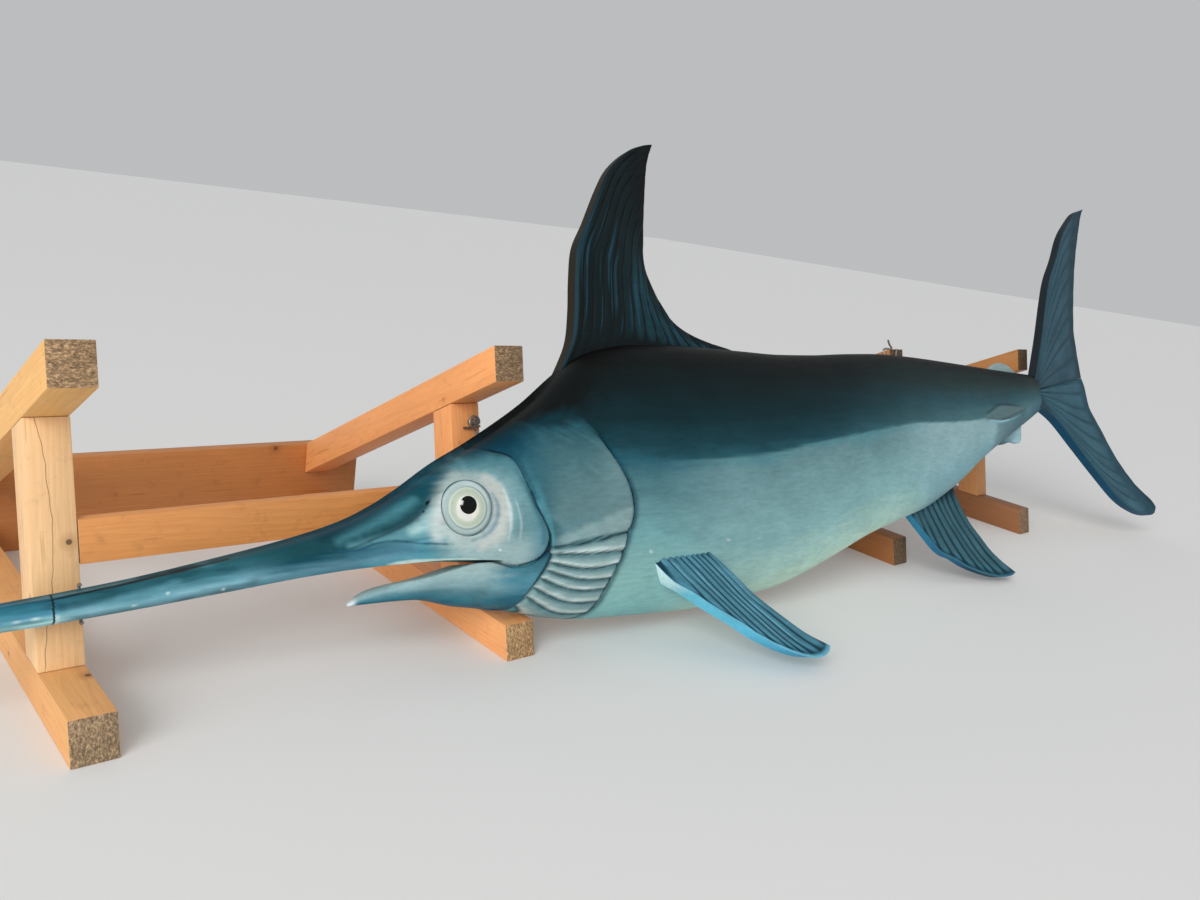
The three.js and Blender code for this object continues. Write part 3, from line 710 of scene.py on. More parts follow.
@dataclass(frozen=True)
class Timber:
    """Softwood seen along and across its grain."""

    name: str
    matrix: Matrix
    pale: Triple = (0.62, 0.33, 0.13)
    dark: Triple = (0.36, 0.15, 0.045)
    end: Triple = (0.24, 0.18, 0.12)
    ring: float = 5.5
    pith: tuple[float, float] = (0.012, -0.035)
    varnish: float = 0.5
    seed: float = 0.0
    knots: tuple[tuple[Vector, float], ...] = ()
    cracks: tuple[tuple[Vector, Vector], ...] = ()
    planks: float = 0.0
    knot_heart: Triple = (0.22, 0.12, 0.06)
    knot_rim: Triple = (0.08, 0.035, 0.015)
    crack_tint: Triple = (0.10, 0.045, 0.02)

    def spots(self, g: Graph, colour: object, even: object, wander: object) -> object:
        """Lay the knots over a colour.

        Args:
            g: The material's nodes.
            colour: Colour beneath.
            even: Place along the timber.
            wander: Soft noise that bends their outlines.

        Returns:
            Colour with the knots.
        """
        inward = self.matrix.inverted()
        for place, size in self.knots:
            offset = g.vector("SUBTRACT", even, inward @ place).outputs[0]
            away = g.vector("LENGTH", offset).outputs["Value"]
            gap = g.math("ADD", away, g.math("MULTIPLY", wander, 0.003))
            colour = g.mix(g.between(gap, size * 2.6, size, 0, 0.5), colour, self.dark)
            colour = g.mix(g.between(gap, size, size * 0.75, 0, 0.85), colour, self.knot_rim)
            colour = g.mix(g.between(gap, size * 0.7, size * 0.4, 0, 0.8), colour, self.knot_heart)
        return colour

    def checks(self, g: Graph, colour: object, even: object) -> object:
        """Lay long drying cracks over a colour.

        Args:
            g: The material's nodes.
            colour: Colour beneath.
            even: Place along the timber.

        Returns:
            Colour with the cracks.
        """
        inward = self.matrix.inverted()
        waver = g.noise(g.vector("MULTIPLY", even, (1.0, 0.1, 0.1)).outputs[0], 22, 2)
        for start, stop in self.cracks:
            low, high = inward @ start, inward @ stop
            along, out, beside = g.parts(even)
            lean = (high.z - low.z) / (high.x - low.x)
            line = g.math("MULTIPLY_ADD", along, lean, low.z - lean * low.x)
            off = g.math("SUBTRACT", beside, g.math("MULTIPLY_ADD", waver, 0.010, line))
            gap = g.math("ABSOLUTE", g.math("ADD", off, 0.005))
            ends = g.math("MULTIPLY", g.between(along, low.x, low.x + 0.01, 0, 1),
                          g.between(along, high.x - 0.01, high.x, 1, 0))
            share = g.math("MULTIPLY", g.between(gap, 0.0005, 0.0001, 0, 0.75), ends)
            near = g.between(out, 0.012, 0.015, 0, 1)
            colour = g.mix(g.math("MULTIPLY", share, near), colour, self.crack_tint)
        return colour

    def rings(self, g: Graph, even: object, wander: object) -> Socket:
        """Return the wood's colour with its yearly rings.

        Args:
            g: The material's nodes.
            even: Place along the timber.
            wander: Soft noise that bends the rings.

        Returns:
            Colour of the wood.
        """
        across = g.vector("MULTIPLY", even, (0.0, 1.0, 1.0)).outputs[0]
        centred = g.vector("SUBTRACT", across, (0.0, *self.pith)).outputs[0]
        bent = g.math("ADD", g.vector("LENGTH", centred).outputs["Value"], g.math("MULTIPLY", wander, 0.07))
        turns = g.math("FRACT", g.math("DIVIDE", bent, self.ring * MM))
        return g.mix(g.math("MULTIPLY", g.math("POWER", turns, 2.2), 0.17), self.pale, self.dark)

    def wear(self, g: Graph, colour: object, moved: object, fibres: object) -> Socket:
        """Lay blushes, fibres, short dashes and grime over the wood.

        Args:
            g: The material's nodes.
            colour: Colour beneath.
            moved: Place that the noises read.
            fibres: Fine noise along the grain.

        Returns:
            Colour that shows.
        """
        blush = g.noise(g.stretched(moved, 0.3), 16, 4, 0.6)
        colour = g.mix(g.between(blush, 0.35, 0.7, 0, 0.38), colour, scaled(self.pale, 0.7))
        colour = g.mix(g.between(blush, 0.45, 0.25, 0, 0.35), colour, scaled(self.pale, 1.2))
        colour = g.mix(g.between(fibres, 0.35, 0.8, 0, 0.3), colour, self.dark)
        dashes = g.noise(g.stretched(moved, 0.06), 230, 2)
        colour = g.mix(g.between(dashes, 0.66, 0.76, 0, 0.6), colour, self.dark)
        grime = g.noise(moved, 55, 5, 0.7)
        return g.mix(g.between(grime, 0.56, 0.74, 0, 0.38), colour, scaled(self.pale, 0.45))

    def boards(self, g: Graph, colour: object, even: object) -> Socket:
        """Divide the wood into glued boards, each with its own tint.

        Args:
            g: The material's nodes.
            colour: Colour beneath.
            even: Place along the timber.

        Returns:
            Colour that shows.
        """
        share = g.math("DIVIDE", g.parts(even)[2], self.planks)
        tint = g.node("TexWhiteNoise", noise_dimensions="1D")
        g.put(tint.inputs["W"], g.math("FLOOR", share))
        colour = g.mix(g.math("MULTIPLY", tint.outputs["Value"], 0.35), colour, scaled(self.pale, 0.6))
        seam = g.math("ABSOLUTE", g.math("SUBTRACT", g.math("FRACT", share), 0.5))
        return g.mix(g.between(seam, 0.494, 0.498, 0, 0.7), colour, self.dark)

    def sawn(self, g: Graph, even: object, rough_end: object) -> Socket:
        """Return the grey, pitted colour of a sawn end.

        Args:
            g: The material's nodes.
            even: Place along the timber.
            rough_end: Coarse noise of the cut fibres.

        Returns:
            Colour of the end.
        """
        pits = g.noise(even, 120, 4, 0.7)
        grey = g.mix(g.between(pits, 0.35, 0.7, 0, 0.8), self.end, scaled(self.end, 0.4))
        grey = g.mix(g.between(rough_end, 0.50, 0.62, 0, 0.85), grey, scaled(self.end, 2.1, 0.9))
        return g.mix(g.between(rough_end, 0.46, 0.36, 0, 0.85), grey, scaled(self.end, 0.22))

    def make(self) -> Material:
        """Build the material, with its grain along the frame's x axis.

        Returns:
            The finished material.
        """
        g = Graph(self.name)
        even = g.place(self.matrix)
        moved = g.vector("ADD", even, (self.seed, self.seed * 0.3, 0.0)).outputs[0]
        wander = g.noise(g.stretched(moved, 0.10), 14, 3)
        fibres = g.noise(g.stretched(moved, 0.03), 700, 4, 0.7)
        colour = self.wear(g, self.rings(g, even, wander), moved, fibres)
        if self.planks:
            colour = self.boards(g, colour, even)
        colour = self.checks(g, self.spots(g, colour, even, wander), even)
        axis = tuple(self.matrix.to_3x3().col[0])
        normal = g.node("NewGeometry").outputs["Normal"]
        facing = g.math("ABSOLUTE", g.vector("DOT_PRODUCT", normal, axis).outputs["Value"])
        cut = g.between(facing, 0.80, 0.86, 0, 1)
        rough_end = g.noise(g.vector("MULTIPLY", even, (1.0, 1.0, 0.55)).outputs[0], 520, 6, 0.75)
        g.feed("Base Color", g.mix(cut, colour, self.sawn(g, even, rough_end)))
        worn = g.node("Mix", data_type="FLOAT")
        g.put(worn.inputs["Factor"], cut)
        g.put(worn.inputs[2], g.between(fibres, 0.3, 0.7, self.varnish - 0.06, self.varnish + 0.12))
        g.put(worn.inputs[3], 0.85)
        g.feed("Roughness", worn.outputs[0])
        fine = g.bump(fibres, 0.25, 0.5)
        g.feed("Normal", g.bump(g.math("MULTIPLY", rough_end, cut), 0.9, 1.0, fine))
        return g.material


@dataclass(frozen=True)
class DullSteel:
    """Bent wire and hardware with a dull, spotted skin."""

    name: str = "dull_steel"
    colour: Triple = (0.30, 0.29, 0.28)
    rust: Triple = (0.12, 0.06, 0.035)
    metal: float = 0.85

    def make(self) -> Material:
        """Build the material.

        Returns:
            The finished material.
        """
        g = Graph(self.name)
        place = g.place(Matrix.Identity(4))
        spots = g.noise(place, 420, 4, 0.6)
        rusty = g.between(spots, 0.5, 0.7, 0, 0.7)
        g.feed("Base Color", g.mix(rusty, self.colour, self.rust))
        g.feed("Metallic", self.metal)
        g.feed("Roughness", g.between(spots, 0.3, 0.7, 0.32, 0.55))
        g.feed("Normal", g.bump(spots, 0.2, 0.4))
        return g.material


@dataclass
class Body:
    """Whole carved body from bill tip to tail stalk, in one skin."""

    back: Points = (
        (-690, -139.5), (-480, -121.4), (-400, -113.8), (-300, -99.3), (-220, -84.5), (-183, -74.8),
        (-150, -61.5), (-125, -48.5), (-80, -22), (-40, -2.7), (0, 18.5), (40, 42), (85, 74), (116, 94),
        (150, 106), (190, 112), (250, 114), (320, 112), (385, 109.5), (450, 107), (520, 108), (603, 112),
        (680, 114), (739, 112.4), (800, 109.1), (853, 105.5), (929, 100), (1006, 94.4), (1060, 91),
        (1130, 88))
    lip: Points = (
        (-690, -144.5), (-580, -147.5), (-480, -145.3), (-400, -140.8), (-300, -133.1), (-220, -126.8),
        (-160, -124.5), (-104, -124.9), (-60, -128.6), (-38, -131.5))
    throat: Points = (
        (-38, -180), (0, -189), (40, -200.3), (85, -208.1), (140, -212.2), (192, -215.2), (250, -217.5),
        (320, -213.6), (385, -208.1), (450, -195.6), (520, -176.8), (603, -154), (700, -134.7),
        (739, -126.9), (800, -106.9), (853, -86), (890, -68), (929, -50.3), (978, -30.6), (1050, -3),
        (1110, 18), (1130, 24))
    relief: Points = (
        (-690, 7), (-480, 21), (-300, 34), (-180, 45), (-68, 62), (60, 80), (150, 87), (250, 90),
        (400, 86), (550, 77), (700, 64), (850, 49), (950, 40), (1080, 29), (1130, 17))
    bevel: Points = (
        (-690, 2), (-300, 3), (-150, 4), (-60, 7), (50, 7), (110, 0), (1130, 0))
    cheek: Points = (
        (-45, -10), (-29, -16), (-10, -28), (2, -72), (12, -93), (17, -110), (13, -127), (0, -135),
        (-21, -139), (-44, -133), (-80, -127), (-108, -110), (-112, -84), (-104, -60), (-78, -32))
    cover: Points = (
        (75, 15), (88, 3), (102, -23), (113, -42), (122, -61), (126, -81), (125, -99), (118, -113),
        (100, -118), (74, -121), (49, -123), (25, -123), (24, -108), (13, -70), (3, -30), (30, 6))
    strips: Points = (
        (25, -125, -2, 120, -116), (22, -131, 2, 114, -135), (20, -140, 6, 107, -149),
        (15, -147, 6, 98, -164), (9, -155, 7, 91, -175), (3, -164, 8, 86, -188),
        (-2, -173, 8, 78, -200), (-9, -182, 6, 60, -208))
    keel: Points = (
        (900, 8), (933, 23), (962, 31), (1020, 29), (1056, 28), (1007, 15), (962, 5))
    wall: float = 14
    wall_share: float = 0.45
    power: float = 2.4
    mouth_front: float = -186
    mouth_back: float = -38
    mouth_drop: float = 48.5
    slim: float = 30
    cheek_rise: float = 6
    cover_rise: float = 6
    strip_rise: float = 4.2
    block_rise: float = 1.5
    keel_rise: float = 4.6
    ease: float = 2.5
    rows: int = 148
    nodes: tuple[str, ...] = (
        "bill", "head", "body_front", "body_middle", "body_rear", "tail_stalk", "cheek", "gill_cover",
        "gill_strips", "tail_keel")

    def __post_init__(self) -> None:
        """Make the outline curves."""
        self.back_at = Line(self.back)
        self.lip_at = Line(self.lip)
        self.throat_at = Line(self.throat)
        self.relief_at = Line(self.relief)
        self.bevel_at = Line(self.bevel)
        self.cheek_line = rounded(self.cheek, closed=True)
        self.cover_line = rounded(self.cover, closed=True)
        self.keel_line = rounded(self.keel, closed=True)

    def low_at(self, x: Array) -> Array:
        """Return the lower outline that the section is drawn to.

        Args:
            x: Places along the fish.

        Returns:
            Height at each place, as if the mouth were shut.
        """
        opened = np.clip((x - self.mouth_front) / (self.mouth_back - self.mouth_front), 0, None)
        lip = self.lip_at(x) - self.mouth_drop * opened**1.3
        return np.where(x >= self.mouth_back, self.throat_at(x), lip)

    def cut_at(self, x: Array) -> Array:
        """Return the lower outline as it is left by the open mouth.

        Args:
            x: Places along the fish.

        Returns:
            Height at each place.
        """
        shut = fade(self.mouth_back, self.mouth_back + 20, x)
        lip = self.lip_at(np.minimum(x, self.mouth_back))
        return np.where(x < self.mouth_front, self.low_at(x), lip * (1 - shut) + self.low_at(x) * shut)

    def high_at(self, x: Array) -> Array:
        """Return where the rounded face starts, under the bevel of the back."""
        top = self.back_at(x)
        return top - self.bevel_at(x) * np.minimum(1, (top - self.low_at(x)) / self.slim)

    def wall_at(self, relief: Array) -> Array:
        """Return the depth of the straight wall under a face of some depth."""
        return np.minimum(self.wall, self.wall_share * relief)

    def plain_depth(self, x: Array, z: Array) -> Array:
        """Return the depth of the face before its plates are raised.

        Args:
            x: Places along the fish.
            z: Heights up its back.

        Returns:
            Depth out of the flat back at each point.
        """
        low, high, relief = self.low_at(x), self.high_at(x), self.relief_at(x)
        wall = self.wall_at(relief)
        across = np.clip(np.abs(z - (high + low) / 2) / ((high - low) / 2), 0, 1)
        return wall + (relief - wall) * (1 - across**self.power) ** (1 / self.power)

    def strip_lines(self) -> list[Array]:
        """Return the line above each gill strip.

        Returns:
            For each line its points from left to right.
        """
        t = np.linspace(0, 1, 25)
        lines = []
        for left_x, left_z, dip, right_x, right_z in self.strips:
            x = left_x + (right_x - left_x) * t
            z = left_z + (right_z - left_z) * t - dip * np.sin(math.pi * t)
            lines.append(np.stack([x, z], 1))
        return lines

    def strip_shares(self, x: Array, z: Array) -> list[tuple[Array, Array, Array, Array]]:
        """Return where points lie in each gill strip.

        Args:
            x: Places along the fish.
            z: Heights up its back.

        Returns:
            For each strip the line above it and the one below, the share of its height that lies over
            each point, and whether the point is between the lines.
        """
        found = []
        lines = self.strip_lines()
        for upper, lower in zip(lines, lines[1:]):
            top = np.interp(x, upper[:, 0], upper[:, 1])
            low = np.interp(x, lower[:, 0], lower[:, 1])
            share = np.clip((top - z) / np.maximum(top - low, 1), 0, 1)
            found.append((upper, lower, share, (z <= top) & (z >= low)))
        return found

    def raise_at(self, x: Array, z: Array) -> Array:
        """Return how far the carved plates stand out of the plain face.

        Args:
            x: Places along the carving.
            z: Heights up the carving.

        Returns:
            Height over the face at each point.
        """
        lines = self.strip_lines()
        ends = np.array([[line[0], line[-1]] for line in lines])
        block = np.vstack([lines[0], ends[1:-1, 1], lines[-1][::-1], ends[1:-1, 0][::-1]])
        inner = inside(x, z, block)
        height = self.block_rise * fade(-1.5, 1.5, inner)
        for _, _, share, within in self.strip_shares(x, z):
            swell = fade(0.08, 0.4, share) * fade(1.0, 0.82, share)
            height = height + np.where(within, self.strip_rise * swell * fade(0, 5, inner), 0)
        cover = inside(x, z, self.cover_line)
        most = self.cover_rise
        shown = fade(12, -34, z) * Line([(-700, 0.5), (10, 1), (80, most), (1200, most)])(x)
        cheek = inside(x, z, self.cheek_line)
        full = Line([(-700, 0), (-110, 0), (-20, self.cheek_rise), (1200, self.cheek_rise)])(x)
        for gap, rise in ((cover, shown), (cheek, full)):
            height = np.where(gap > -self.ease, height * fade(0, -self.ease, gap), height)
            height = height + rise * self.step(gap)
        return height + self.keel_rise * fade(-0.5, 4, inside(x, z, self.keel_line))

    def step(self, gap: Array) -> Array:
        """Return the eased edge of a plate over the distance inside it."""
        return 0.75 * fade(-0.8, 1.0, gap) + 0.25 * fade(0, 5, gap)

    def depth(self, x: Array, z: Array) -> Array:
        """Return the finished depth of the face."""
        return self.plain_depth(x, z) + self.raise_at(x, z)

    def stations(self) -> Array:
        """Return the places along the body where it has a section.

        Returns:
            Places in rising order.
        """
        return np.concatenate([
            np.arange(-690, -447, 4.5), np.arange(-446, -439, 0.5), np.arange(-437, -212, 2.5),
            np.arange(-212, 150, 1.05), np.arange(150, 1126, 6), [1130]])

    def build(self) -> Piece:
        """Model the skin as rings of points from bill to tail.

        Returns:
            The piece.
        """
        x = self.stations()
        top, cut, high = self.back_at(x), self.cut_at(x), self.high_at(x)
        inset = np.minimum(8, 0.6 * self.wall_at(self.relief_at(x)))
        even = 1 - 2 * np.linspace(0, 1, self.rows)
        crowded = np.sign(even) * np.sin(np.abs(even) * math.pi / 2) ** (2 / self.power)
        across = 0.45 * even + 0.55 * crowded
        zz = high[:, None] + (cut - high)[:, None] * (1 - across[None, :]) / 2
        face = self.depth(np.repeat(x[:, None], self.rows, 1), zz)
        flat = np.zeros_like(x)
        depth = np.column_stack([flat, flat, inset, face, inset])
        height = np.column_stack([cut + inset, top - inset, top, zz, cut])
        points = CARVING.to_world(x[:, None], depth, height).reshape(-1, 3)
        piece = piece_from("carved_body", points, loft(*depth.shape))
        drill = Eye().drill()
        add_modifier(piece, "BOOLEAN", operation="DIFFERENCE", solver="EXACT", object=drill)
        bpy.data.objects.remove(drill)
        smooth(piece, 38)
        return piece

    def dress(self, piece: Piece, coats: list[Material]) -> None:
        """Paint the skin, and leave its flat back bare."""
        x, _, z = CARVING.to_local(piece)
        finish(piece, PAINT.body(self, x, z), coats, "body_paint", *self.nodes)


@dataclass
class Jaw:
    """Lower jaw, open under the bill, with the plate at its angle."""

    body: Body
    top: Points = (
        (-181, -158), (-172, -151.5), (-158, -146.5), (-106, -140), (-78, -134.5), (-60, -131.8),
        (-46, -132.6), (-38, -135.5), (-21, -141), (-8, -140.5), (0, -138), (16, -128), (20, -130))
    bottom: Points = (
        (-181, -160.5), (-142, -161), (-109, -163), (-65, -175), (-38, -180.6), (-15, -185.6), (-9, -179),
        (-3, -168), (5, -157), (16, -141), (20, -131.5))
    relief: Points = (
        (-181, 8), (-150, 24), (-100, 46), (-38, 69), (-10, 73), (20, 76))
    plate_rise: float = 4
    edge_width: float = 3.5
    edge_drop: float = 2.6
    rows: int = 44

    def build(self) -> Piece:
        """Model the bone and its plate in one closed loft.

        Returns:
            The piece.
        """
        x = np.concatenate([np.arange(-181, -20, 2.0), np.arange(-20, 20.1, 1.0)])
        top, low, relief = Line(self.top)(x), Line(self.bottom)(x), Line(self.relief)(x)
        joined = fade(-150, -38, x)
        high = top * (1 - joined) + self.body.back_at(x) * joined
        xx = np.repeat(x[:, None], self.rows, 1)
        share = 0.5 - 0.5 * np.cos(math.pi * np.linspace(0, 1, self.rows))
        zz = top[:, None] + (low - top)[:, None] * share[None, :]
        wall = self.body.wall_at(relief)[:, None]
        base = np.minimum(low, np.where(x > self.body.mouth_back, self.body.throat_at(x), low))[:, None]
        across = np.clip(np.abs(zz - (high[:, None] + base) / 2) / ((high[:, None] - base) / 2), 0, 1)
        power = self.body.power
        bone = wall + (relief[:, None] - wall) * (1 - across**power) ** (1 / power)
        plate = self.body.plain_depth(xx, np.maximum(zz, self.body.low_at(xx))) + self.plate_rise
        rear = fade(-62, -30, xx)
        face = bone * (1 - rear) + plate * rear
        gap = np.minimum(top[:, None] - zz, np.where(xx > -14, zz - low[:, None], 9))
        eased = np.clip(1 - gap / self.edge_width, 0, 1)
        face = face - self.edge_drop * (1 - np.sqrt(1 - eased**2)) * fade(-181, -160, xx)
        flat = np.zeros_like(x)
        depth = np.column_stack([flat, face, flat])
        height = np.column_stack([top, zz, low])
        points = CARVING.to_world(x[:, None], depth, height).reshape(-1, 3)
        piece = piece_from("lower_jaw_bone", points, loft(*depth.shape))
        smooth(piece, 40)
        return piece

    def dress(self, piece: Piece, coats: list[Material]) -> None:
        """Paint the jaw."""
        x, _, z = CARVING.to_local(piece)
        finish(piece, PAINT.jaw(x, z), coats, "head_paint", "lower_jaw")


@dataclass
class Eye:
    """Domed wooden disc let into the cheek, with its pupil."""

    x: float = -66.5
    z: float = -74.5
    seat: float = 50
    radius: float = 27.2
    taller: float = 1.06
    turn: float = math.radians(12)
    play: float = 0.45
    pupil_shift: tuple[float, float] = (0.7, 2.6)
    sides: int = 96

    def lathe(self, name: str, profile: Points, behind: float = 0, above: float = 0) -> tuple[Piece, tuple]:
        """Model a turned disc at the eye.

        Args:
            name: The piece's name.
            profile: Radius and height of each ring, from the rim inwards.
            behind: Shift toward the tail.
            above: Shift upwards.

        Returns:
            The piece, and the radius and angle of each of its points.
        """
        rings = rounded(profile, steps=5)
        angle = np.arange(self.sides) / self.sides * 2 * math.pi
        radius, height = rings[:, 0][:, None], rings[:, 1][:, None]
        across = radius * np.cos(angle)[None, :] + behind
        upward = radius * np.sin(angle)[None, :] * self.taller + above
        x = self.x + across * math.cos(self.turn) - height * math.sin(self.turn)
        depth = self.seat + across * math.sin(self.turn) + height * math.cos(self.turn)
        points = CARVING.to_world(x, depth, self.z + upward).reshape(-1, 3)
        piece = piece_from(name, points, loft(len(rings), self.sides))
        smooth(piece, 50)
        return piece, (np.repeat(radius, self.sides, 1).ravel(), np.tile(angle, len(rings)))

    def drill(self) -> Piece:
        """Model the bit that cuts the eye's seat in the body.

        Returns:
            The piece.
        """
        wide = self.radius + self.play
        piece, _ = self.lathe("eye_drill", [(wide, -24), (wide, 0), (wide, 40)])
        return piece

    def build(self) -> list[Piece]:
        """Model the disc and the pupil.

        Returns:
            The disc and the pupil.
        """
        rim = [(0, -22), (0, 6), (0.6, 8.6), (2, 10.2), (4, 10.8), (6, 11), (7.5, 12.6)]
        dome = [(16, 13.4), (12, 14), (8, 14.6), (3, 14.9), (0.4, 15)]
        profile = [(self.radius - inward, up) for inward, up in rim] + dome
        disc, self.disc_at = self.lathe("eye_disc", profile)
        button = [(8.9, 11), (8.9, 14.4), (8.2, 15.2), (6.5, 15.45), (3, 15.5), (0.3, 15.5)]
        pupil, self.pupil_at = self.lathe("eye_pupil", button, *self.pupil_shift)
        return [disc, pupil]

    def dress(self, pieces: list[Piece], coats: list[Material]) -> None:
        """Paint the disc and the pupil."""
        finish(pieces[0], PAINT.eye(*self.disc_at), coats[:1], "eye_paint", "eye")
        finish(pieces[1], PAINT.pupil(*self.pupil_at), coats[1:], "pupil_paint", "pupil")


class FinCoat(Enum):
    """Ways that a fin is painted: ridges, grooves in painted shade, board edge and tip."""

    DORSAL = ("131e21", "121b1d", "26231a", "0d0c0b")
    UPPER = ("334f5c", "2a434e", "1f272c", "0b2b35")
    LOWER = ("385a68", "264b58", "104866", "0c3346")
    PECTORAL = ("447789", "0f2f3d", "62b8db", "4c8ca3")
    ANAL = ("375d69", "12282f", "2a6b8a", "3a7288")


@dataclass
class Fin:
    """Fin board whose face is carved into ridges that run from root to margin."""

    name: str
    node: str
    coat: FinCoat
    root: Points
    margin: Points
    first: Points
    last: Points
    rays: int
    crowding: float
    thickness: float | None = None
    face: Triple | None = None
    edge: Triple = (14, 0, 0)
    ridge: float = 2.5
    turned: bool = False
    across: int = 10
    along: int = 64

    def path(self, points: Points) -> Array:
        """Return evenly spaced points on the smooth curve through some points.

        Args:
            points: Corners of the curve.

        Returns:
            Rows of length share, x and z.
        """
        fine = rounded(points, steps=24)
        length = np.concatenate([[0], np.cumsum(np.hypot(*np.diff(fine, axis=0).T))])
        return np.stack([length / length[-1], fine[:, 0], fine[:, 1]], 1)

    def on(self, path: Array, t: Array) -> Array:
        """Return the points at shares of a path's length."""
        return np.stack([np.interp(t, path[:, 0], path[:, 1]), np.interp(t, path[:, 0], path[:, 2])], -1)

    def bow(self, points: Points, t: Array) -> tuple[Array, Array]:
        """Return a ray's shape along and beside the line between its ends.

        Args:
            points: Corners of the curve.
            t: Shares of the length, from root to margin.

        Returns:
            Shares of the chord along it and beside it.
        """
        path = self.path(points)
        start = path[0, 1:]
        chord = path[-1, 1:] - start
        offset = self.on(path, t) - start
        size = float(chord @ chord)
        return offset @ chord / size, (chord[0] * offset[..., 1] - chord[1] * offset[..., 0]) / size

    def grid(self) -> tuple[Array, ...]:
        """Return s, t, x and z over the fin.

        Returns:
            Four arrays with a row for each line along the fin.
        """
        columns = self.rays * self.across
        s = np.repeat(np.linspace(0, 1, columns + 1)[:, None], self.along + 1, 1)
        t = np.repeat(np.linspace(0, 1, self.along + 1)[None, :], columns + 1, 0)
        start = self.on(self.path(self.root), s)
        chord = self.on(self.path(self.margin), s**self.crowding) - start
        first, last = self.bow(self.first, t), self.bow(self.last, t)
        ahead = first[0] * (1 - s) + last[0] * s
        beside = first[1] * (1 - s) + last[1] * s
        x = start[..., 0] + chord[..., 0] * ahead - chord[..., 1] * beside
        z = start[..., 1] + chord[..., 1] * ahead + chord[..., 0] * beside
        return s, t, x, z

    def ridges(self, s: Array, t: Array) -> Array:
        """Return the height of the carved ridges, from 0 to 1.

        Args:
            s: Shares of the width, from the front.
            t: Shares of the length, from root to margin.

        Returns:
            Height of each point.
        """
        wander = 0.16 * Grain(self.rays)(s * self.rays * 0.6 + 7, t * 3) * np.minimum(1, 4 * t)
        wave = np.abs(np.sin(math.pi * (s * self.rays + wander)))
        taper = np.minimum(1, np.minimum(6 * t, 6 * (1 - t) + 0.2))
        rim = fade(0, 0.35, s * self.rays)
        return wave**0.6 * taper * rim

    def build(self) -> Piece:
        """Model the fin.

        Returns:
            The piece.
        """
        s, t, x, z = self.grid()
        lift = self.ridge * self.ridges(s, t)
        if self.face is None:
            lead = 1 - s if self.turned else s
            front = self.edge[0] + self.edge[1] * (1 - t) * (1 - lead) + self.edge[2] * t * lead + lift
            rear = np.zeros_like(front)
        else:
            offset, along_x, along_z = self.face
            plane = offset + along_x * x + along_z * z
            front = plane - self.ridge + lift
            rear = plane - self.thickness
        near = np.minimum(np.minimum(s, 1 - s) * self.rays * 3, (1 - t) * 40)
        front = front - (1 - np.clip(near, 0, 1)) ** 2
        index = np.arange(s.size).reshape(s.shape)
        rim = np.concatenate([index[:-1, 0], index[-1, :-1], index[:0:-1, -1], index[0, :0:-1]])
        under = front.ravel()[rim] - 0.5
        points = np.vstack([
            CARVING.to_world(x, front, z).reshape(-1, 3), CARVING.to_world(x, rear, z).reshape(-1, 3),
            CARVING.to_world(x.ravel()[rim], under, z.ravel()[rim])])
        faces = []
        for i in range(s.shape[0] - 1):
            for j in range(s.shape[1] - 1):
                quad = [int(v) for v in (index[i, j], index[i + 1, j], index[i + 1, j + 1], index[i, j + 1])]
                faces.append(quad)
                faces.append([v + s.size for v in quad[::-1]])
        ring = 2 * s.size + np.arange(len(rim))
        for k, a in enumerate(rim):
            after = (k + 1) % len(rim)
            faces.append([int(v) for v in (rim[after], a, ring[k], ring[after])])
            faces.append([int(v) for v in (ring[after], ring[k], a + s.size, rim[after] + s.size)])
        piece = piece_from(self.name, points, faces)
        smooth(piece, 42)
        both = [np.concatenate([v.ravel(), v.ravel(), v.ravel()[rim]]) for v in (s, t, x, z)]
        self.s, self.t, self.x, self.z = both
        self.high = np.concatenate([self.ridges(s, t).ravel(), np.zeros(s.size), np.zeros(len(rim))])
        self.on_face = np.concatenate([np.ones(s.size), np.zeros(s.size + len(rim))])
        return piece

    def dress(self, piece: Piece, coats: list[Material]) -> None:
        """Paint the fin, and leave the back bare where it lies flat."""
        finish(piece, PAINT.fin(self), coats if self.face is None else coats[:1], "fin_paint", self.node)


@dataclass(frozen=True)
class Stroke:
    """One stroke of the brush: its colour, how much of it shows, its edges and its path.

    The path has x, z and half width at a few places.
    """

    colour: str
    share: float
    soft: float
    wobble: float
    path: Points


